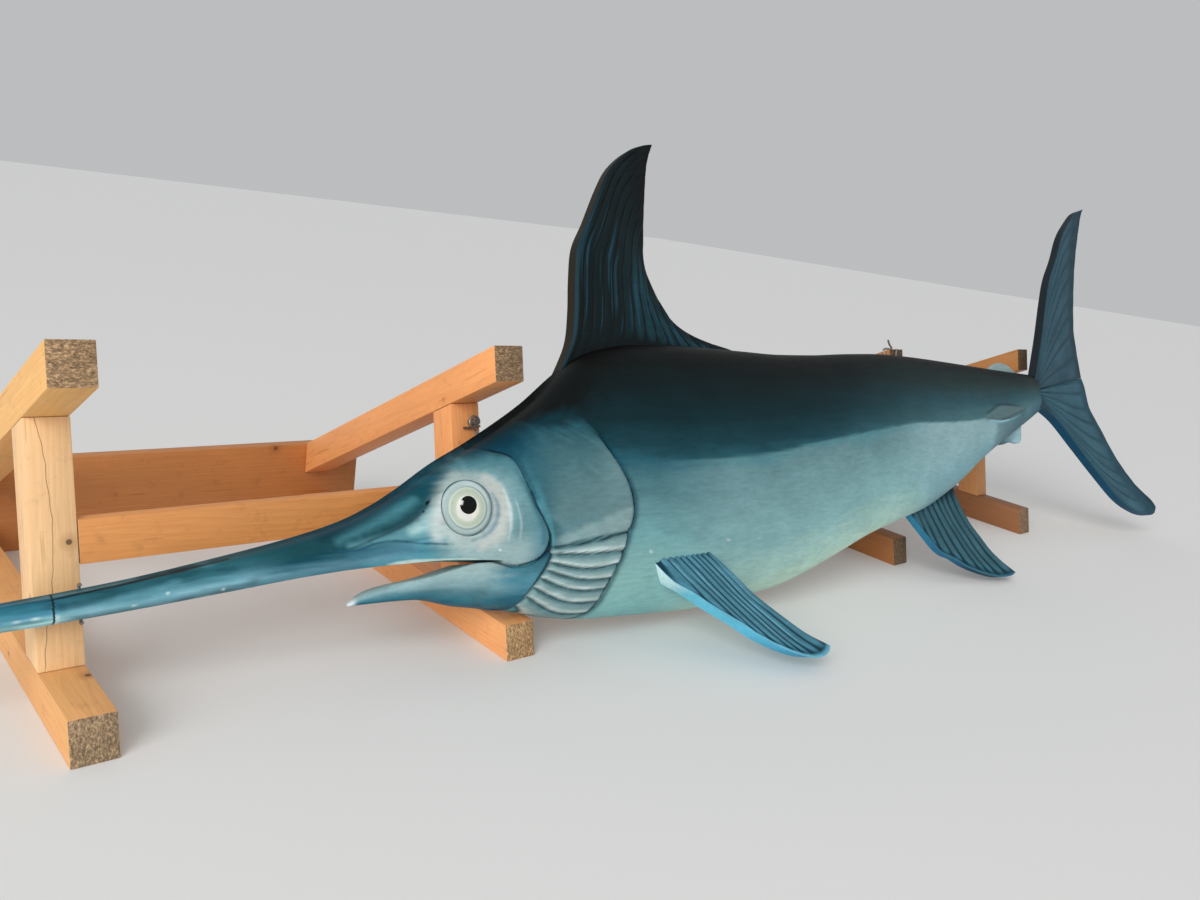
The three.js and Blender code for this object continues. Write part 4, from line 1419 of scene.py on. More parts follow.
class Paint:
    """Colours brushed on each part of the carving, over its own x and z, with painted shade and highlights
    at some edges and grooves.
    """

    CHIPS = (
        (-40, -121, 1.7), (150, -140, 1.8), (182, -121, 1.5), (269, -138, 1.8), (325, -141, 1.5),
        (-14, -146, 1.0), (240, -60, 1.2), (-381, -135.3, 1.9), (-354.8, -127.9, 1.7),
        (-307.2, -129.9, 1.6), (-427, -143.4, 1.6), (-455.4, -137.1, 1.9), (-468.3, -137.9, 2.1),
        (-201, -129.2, 1.8))
    NOSTRILS = ((-108, -66, 2.9, 1.4, 0.75), (-113.5, -74.5, 1.3, 0.8, 0.9))

    def __init__(self) -> None:
        """Draw the unevenness of the brushwork."""
        self.rough = Grain(3)
        self.wisps = Grain(11)

    def plain(self, code: str, count: int) -> Array:
        """Return one colour for a number of points."""
        return np.repeat(tone(code)[None, :], count, 0)

    def ramp(self, value: Array, stops: list[tuple[float, str]]) -> Array:
        """Return colours that change softly with a value.

        Args:
            value: What the colour follows.
            stops: Values in rising order with their colours.

        Returns:
            One colour a point.
        """
        at = [stop[0] for stop in stops]
        shades = np.array([tone(stop[1]) for stop in stops])
        return np.stack([np.interp(value, at, shades[:, k]) for k in range(3)], -1)

    def reach(self, stroke: Stroke, x: Array, z: Array) -> Array:
        """Return where a brush stroke reaches.

        Args:
            stroke: The stroke.
            x: Places along the carving.
            z: Heights up the carving.

        Returns:
            Share from 0 to 1 at each point.
        """
        line = rounded(stroke.path, steps=6)
        low, high = line[:, :2].min(0) - 30, line[:, :2].max(0) + 30
        near = (x > low[0]) & (x < high[0]) & (z > low[1]) & (z < high[1])
        share = np.zeros(x.shape)
        gap, place = distance(x[near], z[near], line)
        half = np.interp(place, np.arange(len(line)), line[:, 2])
        rough = stroke.wobble * self.rough(x[near] / 5, z[near] / 5)
        share[near] = fade(half + stroke.soft, half - stroke.soft, gap + rough)
        return share

    def lay(self, colour: Array, x: Array, z: Array, strokes: list[Stroke]) -> Array:
        """Lay strokes over a colour, one after the other.

        Args:
            colour: Colours beneath, one row a point.
            x: Places along the carving.
            z: Heights up the carving.
            strokes: What is laid, the lowest first.

        Returns:
            The colours that show.
        """
        for stroke in strokes:
            colour = blend(colour, stroke.colour, stroke.share * self.reach(stroke, x, z))
        return colour

    def body(self, body: Body, x: Array, z: Array) -> Array:
        """Return the colours of the body's points.

        Args:
            body: The body, for its outlines.
            x: Places along the carving.
            z: Heights up the carving.

        Returns:
            One colour a point.
        """
        colour = self.flank(body, x, z)
        border = Line([
            (-215, 62), (-208, 66), (-198, 80), (-184, 88), (-166, 95), (-151, 103), (-136, 111),
            (-115, 119), (-98, 126.5), (-80, 127.5), (-60, 123), (-40, 113), (-6, 100), (20, 84),
            (60, 100), (120, 100)])(z)
        soft = 0.8 + 14 * fade(-10, 15, z)
        behind = x - border + self.rough(x / 9, z / 9)
        colour = blend(colour, self.head(body, x, z), fade(soft, -soft, behind))
        # Painted shade along the edges of the raised plates.
        colour = self.plate_edge_shade(x, z, colour)
        colour = self.bill(body, x, z, colour)
        for spot_x, spot_z, size in self.CHIPS:
            gap = np.hypot(x - spot_x, z - spot_z)
            colour = blend(colour, "d4e4e6", 0.8 * fade(0.7 * size + 0.8, 0.7 * size - 0.8, gap))
        return colour

    def flank(self, body: Body, x: Array, z: Array) -> Array:
        """Return the dark back and the pale belly behind the head.

        Args:
            body: The body, for its outlines.
            x: Places along the carving.
            z: Heights up the carving.

        Returns:
            One colour a point.
        """
        top, low = body.back_at(x), body.cut_at(x)
        wisp = self.wisps(x / 70, z / 8) * 0.6 + self.rough(x / 25, z / 4) * 0.4
        line = Line([(100, -30), (121, -31), (208, -39), (322, -38), (427, -27), (550, -13), (691, 0.5),
                     (831, 4), (902, 7), (960, 9), (1060, 28), (1130, 36)])(x)
        over = (z - line) / np.maximum(top - line, 1)
        dark = self.ramp(over + 0.05 * wisp, [
            (0, "25535f"), (0.10, "183d47"), (0.32, "0d2a30"), (0.55, "0d1f23"), (0.8, "0a1111"),
            (1, "060303")])
        tailward = self.ramp(over + 0.05 * wisp, [
            (0, "4b7178"), (0.3, "2f535d"), (0.6, "253738"), (1, "0b0303")])
        dark = blend(dark, tailward, fade(420, 980, x))
        under = (line - z) / np.maximum(line - low, 1)
        pale = self.ramp(under + 0.06 * wisp, [
            (0, "52828b"), (0.10, "63888d"), (0.3, "71979c"), (0.6, "83adb0"), (0.85, "a8ccc2"),
            (1, "c6e3d1")])
        front = self.ramp(under + 0.06 * wisp, [
            (0, "205464"), (0.25, "557e84"), (0.5, "71a2a6"), (0.75, "86b3b0"), (1, "84b8b8")])
        rear = self.ramp(under + 0.06 * wisp, [
            (0, "8aabb1"), (0.4, "8baeb4"), (0.75, "7ca7b0"), (1, "82abb4")])
        pale = blend(front, pale, fade(150, 300, x))
        pale = blend(pale, rear, fade(600, 780, x))
        stalk = self.ramp(x + 8 * wisp, [
            (950, "6c8d94"), (975, "5e7c84"), (1017, "50717a"), (1040, "4b6b73"), (1061, "557680"),
            (1090, "426975"), (1130, "3f6272")])
        pale = blend(pale, stalk, fade(930, 952, x + 8 * wisp))
        soft = 1.8 + 5 * fade(220, 110, x) + 3 * fade(880, 1000, x)
        colour = blend(dark, pale, fade(soft, -soft, z - line + 1.5 * wisp))
        keel = inside(x, z, body.keel_line)
        colour = blend(colour, "566f73", fade(-1, 3, keel))
        # Painted highlights: pale lines along the keel's lower edge.
        colour = self.lay(colour, x, z, [
            Stroke("6d9aa6", 1, 1.5, 0.6, [(905, 4, 0.6), (960, 3, 1.2), (1000, 8, 1.0), (1030, 15, 0.5)]),
            Stroke("a9d3e2", 0.85, 1.0, 0.3, [(918, 4.8, 0.4), (945, 4.2, 1.0), (965, 4.4, 1.2),
                (988, 6.5, 0.4)]),
        ])
        ridge = fade(2.6, 0.6, np.abs(keel + 0.8)) * fade(14, 20, z) * fade(1050, 985, x)
        colour = blend(colour, "24383e", 0.75 * ridge)
        ledge = fade(2.6, 0.6, np.abs(keel - 1.5)) * fade(19, 13, z) * fade(930, 965, x)
        colour = blend(colour, "35525a", 0.6 * ledge)
        colour = self.lay(colour, x, z, [
            Stroke("456f80", 0.4, 8, 0.6, [(1085, 30, 8), (1130, 38, 12)]),
        ])
        return colour

    def head(self, body: Body, x: Array, z: Array) -> Array:
        """Return the colours in front of the gill cover's rear edge.

        Args:
            body: The body, for its outlines.
            x: Places along the carving.
            z: Heights up the carving.

        Returns:
            One colour a point.
        """
        below = body.back_at(x) - z
        wisp = self.wisps((x + z) / 22, (z - x) / 7)
        black = Line([(-230, 4), (-60, 7), (0, 12), (50, 34), (100, 78), (140, 90)])(x)
        colour = self.ramp(below / black + 0.12 * wisp, [
            (0.5, "080e0e"), (1.0, "082b34"), (1.9, "063547"), (3.5, "0e495b"), (6, "5497a4")])
        colour = self.lay(colour, x, z, [
            Stroke("144455", 0.8, 6, 0.6, [(-8, -22, 5), (2, -45, 5), (8, -70, 4)]),
        ])
        frayed = self.wisps((x - z) / 40, (x + z) / 7) * fade(-45, -10, z)
        cover = inside(x, z, body.cover_line) + 4 * frayed
        brow = fade(-48, -6, z) * fade(100, 72, x)
        soft = 1 + 9 * brow + 10 * fade(34, 12, x) * fade(-112, -96, z)
        colour = blend(colour, self.gill_cover(x, z), fade(-1, 1, cover / soft))
        colour = self.gill_strips(body, x, z, colour)
        cheek = inside(x, z, body.cheek_line)
        soft = 1 + 9 * fade(-50, -85, x)
        return blend(colour, self.cheek(x, z), fade(-1, 1, cheek / soft))

    def gill_cover(self, x: Array, z: Array) -> Array:
        """Return the colours of the gill cover.

        Args:
            x: Places along the carving.
            z: Heights up the carving.

        Returns:
            One colour a point.
        """
        streak = self.wisps((x - z) / 60, (z + 0.8 * x) / 9)
        colour = self.ramp(z + 6 * streak, [
            (-118, "61878e"), (-80, "59797e"), (-40, "496e75"), (-12, "345b64"), (3, "24505c"),
            (12, "142d34")])
        colour = blend(colour, "2e5d6a", 0.9 * fade(46, 10, x + 8 * streak))
        rear = fade(62, 118, x + 8 * streak) * fade(0, -50, z)
        colour = blend(colour, "68888c", 0.8 * rear)
        band = z - Line([(20, -116), (30, -113), (80, -98), (120, -88), (130, -86)])(x)
        under = fade(3, -5, band + 2 * streak) * fade(15, 45, x)
        colour = blend(colour, "85a0a2", 0.9 * under)
        colour = blend(colour, "5f888d", 0.2 * fade(0.2, 0.9, streak))
        return colour

    def gill_strips(self, body: Body, x: Array, z: Array, colour: Array) -> Array:
        """Lay the gill strips and their grooves over the head, with painted shade: each strip darker at its
        top, where the strip above shades it, and dark lines along the grooves.

        Args:
            body: The body, for its outlines.
            x: Places along the carving.
            z: Heights up the carving.
            colour: Colours beneath.

        Returns:
            One colour a point.
        """
        for upper, lower, share, within in body.strip_shares(x, z):
            left = np.minimum(upper[0, 0], lower[0, 0])
            right = np.where(share < 0.5, upper[-1, 0], lower[-1, 0])
            shown = (within & (x > left - 3)) * fade(right + 3, right - 3, x)
            # Painted shadow: each strip is darkest at its top, under the strip above, and lighter toward its
            # lower edge.
            shade = self.ramp(share + 0.1 * self.wisps(x / 20, z / 3), [
                (0, "5b868d"), (0.25, "698b90"), (0.6, "8aa6a8"), (0.88, "c8dad7"), (1, "b3c6c5")])
            shade = blend(shade, "66878a", 0.2 * fade(left + 35, left, x))
            colour = blend(colour, shade, shown)
        # Painted shade in the grooves between the strips.
        return self.lay(colour, x, z, [
            Stroke("1d414c", 0.95, 1.2, 0.3, [(*point, 0.9) for point in line[::4]])
            for line in body.strip_lines()])

    def cheek(self, x: Array, z: Array) -> Array:
        """Return the colours of the plate round the eye.

        Args:
            x: Places along the carving.
            z: Heights up the carving.

        Returns:
            One colour a point.
        """
        out = np.hypot(x - Eye.x, (z - Eye.z) / Eye.taller)
        angle = np.arctan2(z - Eye.z, x - Eye.x)
        hairs = self.wisps(angle * 9 + 30, out / 30)
        colour = self.ramp(out + 3 * hairs, [
            (26, "9fafaf"), (36, "b0c1be"), (44, "7ca3aa"), (56, "689096"), (72, "628f97"), (95, "558495")])
        colour = blend(colour, "3c717d", 0.85 * fade(-52, -22, z + 4 * hairs))
        colour = blend(colour, "03303e", 0.9 * fade(-30, -12, z + 3 * hairs))
        colour = blend(colour, "9bb3b4", 0.8 * fade(-98, -122, z) * fade(12, -20, x))
        return self.lay(colour, x, z, [
            Stroke("b7bdb9", 0.8, 5, 0.6, [(-45, -45, 4), (-36, -62, 7), (-33, -85, 8), (-40, -106, 7),
                (-58, -114, 5)]),
            Stroke("c1d3d4", 0.8, 1.6, 0.6, [(-30, -58, 0.8), (-26, -78, 2.0), (-27, -98, 1.6),
                (-31, -112, 0.6)]),
            Stroke("b8cacc", 0.5, 1.4, 0.6, [(-19, -70, 0.6), (-15, -92, 1.4), (-18, -112, 0.5)]),
            Stroke("32687a", 0.75, 4, 0.6, [(-12, -40, 2), (-3, -62, 3), (4, -84, 3), (10, -104, 2.5),
                (9, -118, 1.5)]),
            Stroke("c6cfce", 0.85, 6, 0.6, [(-92, -62, 3), (-102, -78, 7), (-110, -90, 8),
                (-104, -100, 5)]),
            # Painted shadow along the right and lower right of the eye, where the cheek stands above the
            # sunk disc.
            Stroke("2e667f", 0.55, 2.5, 0.6, [(-42, -62, 0.8), (-38, -76, 1.8), (-42, -92, 2.2),
                (-52, -103, 1.6), (-68, -108, 0.8)]),
        ])

    def plate_edge_shade(self, x: Array, z: Array, colour: Array) -> Array:
        """Lay painted shade along the plates' edges: a soft painted shadow that the raised gill cover casts
        on the body behind it, and dark lines, partly dark groove paint and partly painted shade, along the
        edges of the gill cover and the cheek and at the corner of the mouth.

        Args:
            x: Places along the carving.
            z: Heights up the carving.
            colour: Colours beneath.

        Returns:
            One colour a point.
        """
        return self.lay(colour, x, z, [
            # Soft painted shadow cast by the gill cover on the body behind it.
            Stroke("034051", 0.75, 4.5, 0.6, [(100, -10, 1), (119, -44, 2), (129, -72, 4), (130, -96, 4),
                (122, -118, 3.5), (114, -138, 3), (104, -158, 3), (95, -178, 3), (84, -198, 3),
                (66, -208, 2)]),
            Stroke("031f2b", 0.95, 1.2, 0.6, [(94, -6, 0.3), (113, -40, 0.6), (123, -60, 1.3),
                (127.5, -80, 2.0), (126.5, -99, 1.6), (119, -115, 1.2), (111, -136, 1.0), (103, -152, 1.0),
                (95, -168, 1.0), (87, -186, 1.0), (78, -200, 1.0), (62, -208, 0.6)]),
            Stroke("031f2b", 0.95, 1.5, 0.6, [(-34, -12, 0.4), (-26, -15, 1.4), (-18, -19, 1.6),
                (-10, -24, 0.4)]),
            Stroke("031f2b", 0.9, 1.5, 0.6, [(-8, -32, 0.2), (2, -58, 0.7), (9, -82, 1.6), (16, -100, 2.4),
                (19.5, -114, 3.0), (17, -128, 3.0), (10, -143, 2.4), (1, -158, 2.0), (-7, -172, 1.6),
                (-13, -186, 1.2)]),
            Stroke("031f2b", 0.9, 1.1, 0.3, [(-82, -127.5, 0.9), (-60, -130.5, 0.9), (-44, -134, 0.6),
                (-24, -138.5, 0.8), (0, -136, 1.0), (10, -129, 1.6), (17, -118, 2)]),
            Stroke("193641", 0.9, 1.1, 0.3, [(20, -124, 0.8), (60, -123.5, 0.7), (100, -119, 0.9),
                (119, -114, 0.8)]),
        ])

    def bill(self, body: Body, x: Array, z: Array, colour: Array) -> Array:
        """Lay the bill and the brow over the head.

        Args:
            body: The body, for its outlines.
            x: Places along the carving.
            z: Heights up the carving.
            colour: Colours beneath.

        Returns:
            One colour a point.
        """
        top, low = body.back_at(x), body.cut_at(x)
        t = np.clip((top - z) / np.maximum(top - low, 1), 0, 1)
        wisp = self.wisps(x / 35 + 9, z / 3.5)
        far = self.ramp(t + 0.07 * wisp, [
            (0, "3a5f68"), (0.1, "125e75"), (0.35, "377589"), (0.5, "377d92"), (0.68, "5493ad"),
            (0.85, "bff9f9"), (1, "93d4e8")])
        near = self.ramp(t + 0.07 * wisp, [
            (0, "162e35"), (0.08, "044a5a"), (0.22, "13454e"), (0.42, "1a464f"), (0.58, "124653"),
            (0.7, "366778"), (0.82, "6394a7"), (0.95, "5895a7"), (1, "3e89a0")])
        middle = self.ramp(t + 0.05 * wisp, [
            (0, "2c525b"), (0.1, "225a66"), (0.3, "295f6a"), (0.45, "326672"), (0.6, "578c9b"),
            (0.8, "88bccc"), (1, "568b9a")])
        bill = blend(blend(middle, far, fade(-425, -450, x)), near, fade(-300, -240, x))
        patch = self.rough(x / 20 + 3, z / 8) + 0.5 * wisp
        bill = blend(bill, "5796a5", 0.35 * fade(0.25, 0.9, patch) * fade(-275, -305, x))
        bill = blend(bill, "1a4855", 0.5 * fade(-0.2, -0.8, patch) * fade(-210, -280, x))
        bill = self.lay(bill, x, z, [
            Stroke("12414f", 0.55, 3, 1.2, [(-437, -130, 3), (-418, -128, 3.5), (-398, -124, 2)]),
            Stroke("6aa6b6", 0.4, 3, 1.2, [(-405, -131, 1.5), (-372, -125, 3), (-345, -119, 2)]),
            Stroke("4e8c98", 0.6, 6, 0.9, [(-200, -96, 3), (-165, -82, 5), (-140, -72, 6), (-120, -62, 4)]),
            Stroke("032c3b", 0.7, 6, 0.9, [(-215, -92, 3), (-170, -76, 4), (-135, -58, 4), (-110, -46, 3)]),
            Stroke("649ca6", 0.8, 5, 0.6, [(-190, -102, 2), (-160, -99, 4), (-135, -96, 7),
                (-118, -94, 8)]),
            Stroke("a9cccd", 0.85, 6, 0.6, [(-128, -93, 3), (-114, -88, 8), (-100, -80, 10)]),
        ])
        edge = Line([(-134, -135), (-122, -112), (-112, -90), (-100, -62), (-84, -36), (-66, -16), (-40, 0)])
        side = np.interp(z, edge.value, edge.x)
        share = fade(13, -13, x - side + 7 * wisp)
        colour = blend(colour, bill, share)
        colour = self.lay(colour, x, z, [
            Stroke("274853", 0.9, 1.8, 0.6, [(-104, -62, 0.3), (-112, -71, 1.4), (-127, -81, 1.9),
                (-145, -90, 1.7), (-162, -96, 1.3), (-200, -108, 0.5)]),
            Stroke("215066", 0.9, 1.4, 0.6, [(-88, -110, 0.2), (-105, -108, 0.7), (-120, -106, 0.9),
                (-145, -101.5, 1.0), (-165, -102, 1.0), (-185, -107, 0.9), (-215, -104, 0.3)]),
            Stroke("41778a", 0.7, 4, 0.6, [(-92, -116, 1), (-120, -113, 3), (-150, -110, 4),
                (-190, -114, 3)]),
            # Painted highlight along the edge of the upper lip.
            Stroke("b4d0cd", 0.95, 1.0, 0.3, [(-152, -123.3, 0.3), (-142, -123.2, 1.6), (-128, -123.5, 2.0),
                (-104, -124.5, 1.7), (-75, -127, 1.6), (-60, -129, 0.8)]),
        ])
        # The nostril holes are not modelled; painted shade stands in for them.
        for spot_x, spot_z, long, thin, turn in self.NOSTRILS:
            along = (x - spot_x) * math.cos(turn) + (z - spot_z) * math.sin(turn)
            beside = (z - spot_z) * math.cos(turn) - (x - spot_x) * math.sin(turn)
            nostril_shade = fade(1.3, 0.8, np.hypot(along / long, beside / thin))
            colour = blend(colour, "0a1317", nostril_shade)
        # The dark line is the seam along the bill's top; the paler line above it is a painted highlight
        # along the bill's upper edge.
        colour = self.lay(colour, x, z, [
            Stroke("091f2b", 0.95, 0.7, 0.3, [
                (-446, -123.6, 0.2), (-434, -121.9, 0.8), (-373, -114, 1.0), (-299, -103, 0.6)]),
            Stroke("6b95a1", 0.5, 0.7, 0.3, [
                (-690, -142, 0.3), (-434, -119.9, 0.6), (-373, -112, 0.7), (-310, -102.5, 0.4)]),
        ])
        joint = np.abs(x + 442.7 - 0.8 * self.rough(z / 5, z))
        beside = fade(3.2, 1.6, np.abs(x + 440.4)) * fade(-134, -139, z)
        colour = blend(colour, "bfdfe7", 0.8 * beside)
        return blend(colour, "142329", fade(1.1, 0.5, joint))

    def jaw(self, x: Array, z: Array) -> Array:
        """Return the colours of the jaw's points.

        Args:
            x: Places along the carving.
            z: Heights up the carving.

        Returns:
            One colour a point.
        """
        top = Line([
            (-181, -158), (-172, -151.5), (-158, -146.5), (-106, -140), (-39, -135), (0, -137),
            (20, -130)])(x)
        low = Line([(-181, -160.5), (-142, -161), (-109, -163), (-65, -175), (-38, -182), (20, -186)])(x)
        t = np.clip((top - z) / (top - low), 0, 1)
        wisp = self.wisps(x / 30 + 4, z / 4)
        colour = self.ramp(t + 0.08 * wisp, [
            (0, "91aaaa"), (0.18, "8fabae"), (0.4, "7fa0a6"), (0.62, "507b86"), (0.85, "2f7485"),
            (1, "0f5e75")])
        rear = self.ramp(t + 0.08 * wisp, [
            (0, "31606f"), (0.25, "4b8190"), (0.5, "50899b"), (0.8, "30697d"), (1, "175366")])
        colour = blend(colour, rear, fade(-60, -15, x + 10 * wisp))
        colour = blend(colour, "d5e6ea", fade(-173, -180, x))
        # Dark lines along the jaw plate's rear edge and at the mouth's corner, partly dark groove paint and
        # partly painted shade.
        return self.lay(colour, x, z, [
            Stroke("1d414e", 1, 1.4, 0.2, [(20, -128, 2.2), (12, -144, 2.2), (2, -160, 2), (-6, -174, 1.8),
                (-14, -190, 1.5)]),
            Stroke("143d4b", 0.9, 1.2, 0.2, [(-45, -133.5, 0.3), (-21, -139.5, 0.8), (0, -136.5, 1.2),
                (18, -127, 2)]),
        ])

    def eye(self, radius: Array, angle: Array) -> Array:
        """Return the colours of the eye's points.

        Args:
            radius: Distances from the middle.
            angle: Angles round the middle.

        Returns:
            One colour a point.
        """
        hairs = self.wisps(angle * 7 + 20, radius / 9)
        colour = self.ramp(radius + 0.5 * hairs, [
            (8.5, "e3e2d9"), (11, "e0e2d7"), (13, "b9c4b4"), (17, "aebaa9"), (19.4, "bfcbc1"),
            (20.6, "97afad"), (21.6, "a8b8b6"), (24, "a8bab9"), (26, "a6bcbe"), (27, "86a3ab")])
        lower_left = fade(0.3, 0.9, np.cos(angle - math.radians(235)))
        colour = blend(colour, "d4d5d0", lower_left * fade(15, 11, radius))
        # Painted highlight: a pale arc on the upper right of the domed disc.
        upper = fade(0.55, 0.95, np.cos(angle - math.radians(50)))
        rim = fade(21, 22.5, radius) * fade(27, 25, radius)
        colour = blend(colour, "bbcbcb", 0.8 * upper * rim)
        # Painted shade on the disc's side, down in the groove round it.
        return blend(colour, "2a4f5b", fade(26.9, 27.15, radius))

    def pupil(self, radius: Array, angle: Array) -> Array:
        """Return the colours of the pupil's points.

        Args:
            radius: Distances from the middle.
            angle: Angles round the middle.

        Returns:
            One colour a point.
        """
        colour = self.plain("141515", len(radius))
        notch = fade(0.93, 0.985, np.cos(angle - math.radians(158)))
        return blend(colour, "cfd5d4", notch * fade(5.5, 7, radius))

    def hairs(self, fin: Fin, each: int, width: float, longest: float, seed: int = 4) -> Array:
        """Return thin strokes that follow a fin's rays; on the pectoral fin they are painted highlights.

        Args:
            fin: The fin, already built.
            each: Strokes on each ray.
            width: Half width, as a share of a ray.
            longest: Largest share of the ray's length that a stroke reaches.
            seed: Start of the random draws.

        Returns:
            Share from 0 to 1.
        """
        draw = np.random.default_rng(seed + fin.rays)
        place = fin.s * fin.rays
        share = np.zeros(place.shape)
        for ray in range(fin.rays):
            for _ in range(each):
                middle = ray + draw.uniform(0.1, 0.9)
                start = draw.uniform(0.0, 0.45)
                stop = min(start + draw.uniform(0.15, 0.5), longest)
                ends = fade(start, start + 0.1, fin.t) * fade(stop, stop - 0.15, fin.t)
                share = np.maximum(share, ends * fade(width, 0.3 * width, np.abs(place - middle)))
        return share

    def fin(self, fin: Fin) -> Array:
        """Return the colours of a fin's points.

        Args:
            fin: The fin, already built.

        Returns:
            One colour a point.
        """
        ridge, groove, wall, tip = fin.coat.value
        s, t = fin.s, fin.t
        streak = self.wisps(s * fin.rays * 0.9 + 5, t * 5)
        fine = self.rough(s * fin.rays * 3, t * 9 + 3)
        colour = self.plain(ridge, len(s)) * (1 + 0.16 * streak + 0.08 * fine)[:, None]
        colour = blend(colour, tip, fade(0.8, 1.0, t))
        # Painted shade: the grooves between the ridges take the darker groove colour.
        deep = 0.85 if fin.coat in (FinCoat.PECTORAL, FinCoat.ANAL) else 0.75
        low = fade(deep, 0.3, fin.high) * fade(1.0, 0.95, t)
        colour = blend(colour, groove, 0.95 * low)
        if fin.coat is FinCoat.DORSAL:
            crest = fade(0.3, 0.75, fin.high)
            foot = fade(0.02, 0.08, t) * fade(0.7, 0.2, t)
            mid = fade(0.3, 0.55, s) * fade(1.0, 0.8, s)
            mid = mid * fade(0.02, 0.12, t) * fade(0.9, 0.45, t)
            lead = fade(0.42 / fin.rays, 0.2 / fin.rays, s) * fade(0.85, 0.4, t)
            colour = blend(colour, "0c191c", 0.6 * foot * crest)
            colour = blend(colour, "1e434e", 0.8 * mid * crest * np.clip(0.75 + 0.4 * streak, 0, 1))
            colour = blend(colour, "27596e", 0.45 * self.hairs(fin, 3, 0.09, 0.72) * crest)
            # Painted highlight along the leading ridge.
            colour = blend(colour, "1f4f62", 0.3 * lead)
        if fin.coat in (FinCoat.UPPER, FinCoat.LOWER, FinCoat.ANAL):
            colour = blend(colour, "3b5a66", 0.35 * self.hairs(fin, 3, 0.15, 0.95))
            colour = blend(colour, "213d48", 0.35 * self.hairs(fin, 2, 0.15, 0.95, 9))
        # Painted highlights on the pectoral fin: a pale band along its leading edge and thin pale lines on
        # its ridges.
        if fin.coat is FinCoat.PECTORAL:
            colour = blend(colour, "6fb4cc", 0.8 * fade(0.955, 0.985, t))
            colour = blend(colour, "6fb0c8", 0.5 * self.hairs(fin, 3, 0.12, 0.98))
        if fin.coat in (FinCoat.UPPER, FinCoat.LOWER):
            colour = blend(colour, "324046", 0.8 * fade(0.16, 0.0, t))
        edge = self.plain(wall, len(s))
        if fin.coat is FinCoat.PECTORAL:
            edge = self.ramp(s + 0.02 * fine, [
                (0, "d8f0ef"), (0.025, "a8dfea"), (0.06, "6fcbe4"), (0.3, "64c2e2"), (0.6, "49a8ce"),
                (0.85, "5fabc8"), (1, "559fbc")])
        if fin.coat is FinCoat.ANAL:
            edge = self.ramp(s, [(0, "3781a3"), (0.35, "246485"), (0.5, "174158"), (1, "244c60")])
        return blend(edge, colour, fin.on_face)


PAINT = Paint()


@dataclass
class SmallFin:
    """Little board sawn to an outline, standing on the body's edge."""

    name: str
    node: str
    outline: Points
    depth: tuple[float, float]
    colour: str
    tip: str
    tip_from: float = 1008
    tip_blend: float = 25

    def build(self) -> Piece:
        """Model the board.

        Returns:
            The piece.
        """
        ring = rounded(self.outline, closed=True, steps=5)
        count = len(ring)
        points = np.vstack([CARVING.to_world(ring[:, 0], np.full(count, d), ring[:, 1]) for d in self.depth])
        faces = [list(range(count)), list(range(count, 2 * count))[::-1]]
        faces += [[k, (k + 1) % count, count + (k + 1) % count, count + k] for k in range(count)]
        piece = piece_from(self.name, points, faces)
        ease_edges(piece, 3, 50)
        smooth(piece, 40)
        return piece

    def dress(self, piece: Piece, coats: list[Material]) -> None:
        """Paint the board."""
        along = fade(self.tip_from, self.tip_from + self.tip_blend, CARVING.to_local(piece)[0])
        finish(piece, blend(tone(self.colour)[None, :], self.tip, along), coats, "fin_paint", self.node)


def copied(node: str, name: str) -> Piece:
    """Return a welded copy of a node's mesh as a new piece.

    Args:
        node: The CAD node.
        name: The new piece's name.

    Returns:
        The piece.
    """
    piece = linked(name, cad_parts[node].data.copy())
    piece.data.materials.clear()
    only(piece)
    bpy.ops.object.mode_set(mode="EDIT")
    bpy.ops.mesh.select_all(action="SELECT")
    bpy.ops.mesh.remove_doubles(threshold=1e-5)
    bpy.ops.mesh.dissolve_limited(angle_limit=math.radians(2))
    bpy.ops.mesh.normals_make_consistent(inside=False)
    bpy.ops.object.mode_set(mode="OBJECT")
    if piece.data.has_custom_normals:
        bpy.ops.mesh.customdata_custom_splitnormals_clear()
    return piece


class WoodToneAndLight(Enum):
    """Tones of the timbers, on their sides and on their sawn ends: partly the wood's own colour and partly
    painted light, paler on timbers in bright light and darker on those in shade.
    """

    STRAW = ("fed09a", "9f8566")
    CREAM = ("f9c27a", "a78764")
    HONEY = ("f0b272", "9f8566")
    AMBER = ("e59c58", "866f59")
    BARK = ("c8844a", "866f59")
    ORANGE = ("f5a868", "8a6f52")
    PEACH = ("f4ab6e", "b38d63")
    TAN = ("d0935a", "83694f")
    BROWN = ("b4793f", "5d4a37")
    UMBER = ("a06633", "735b42")
    DUSK = ("8e5c35", "83694f")


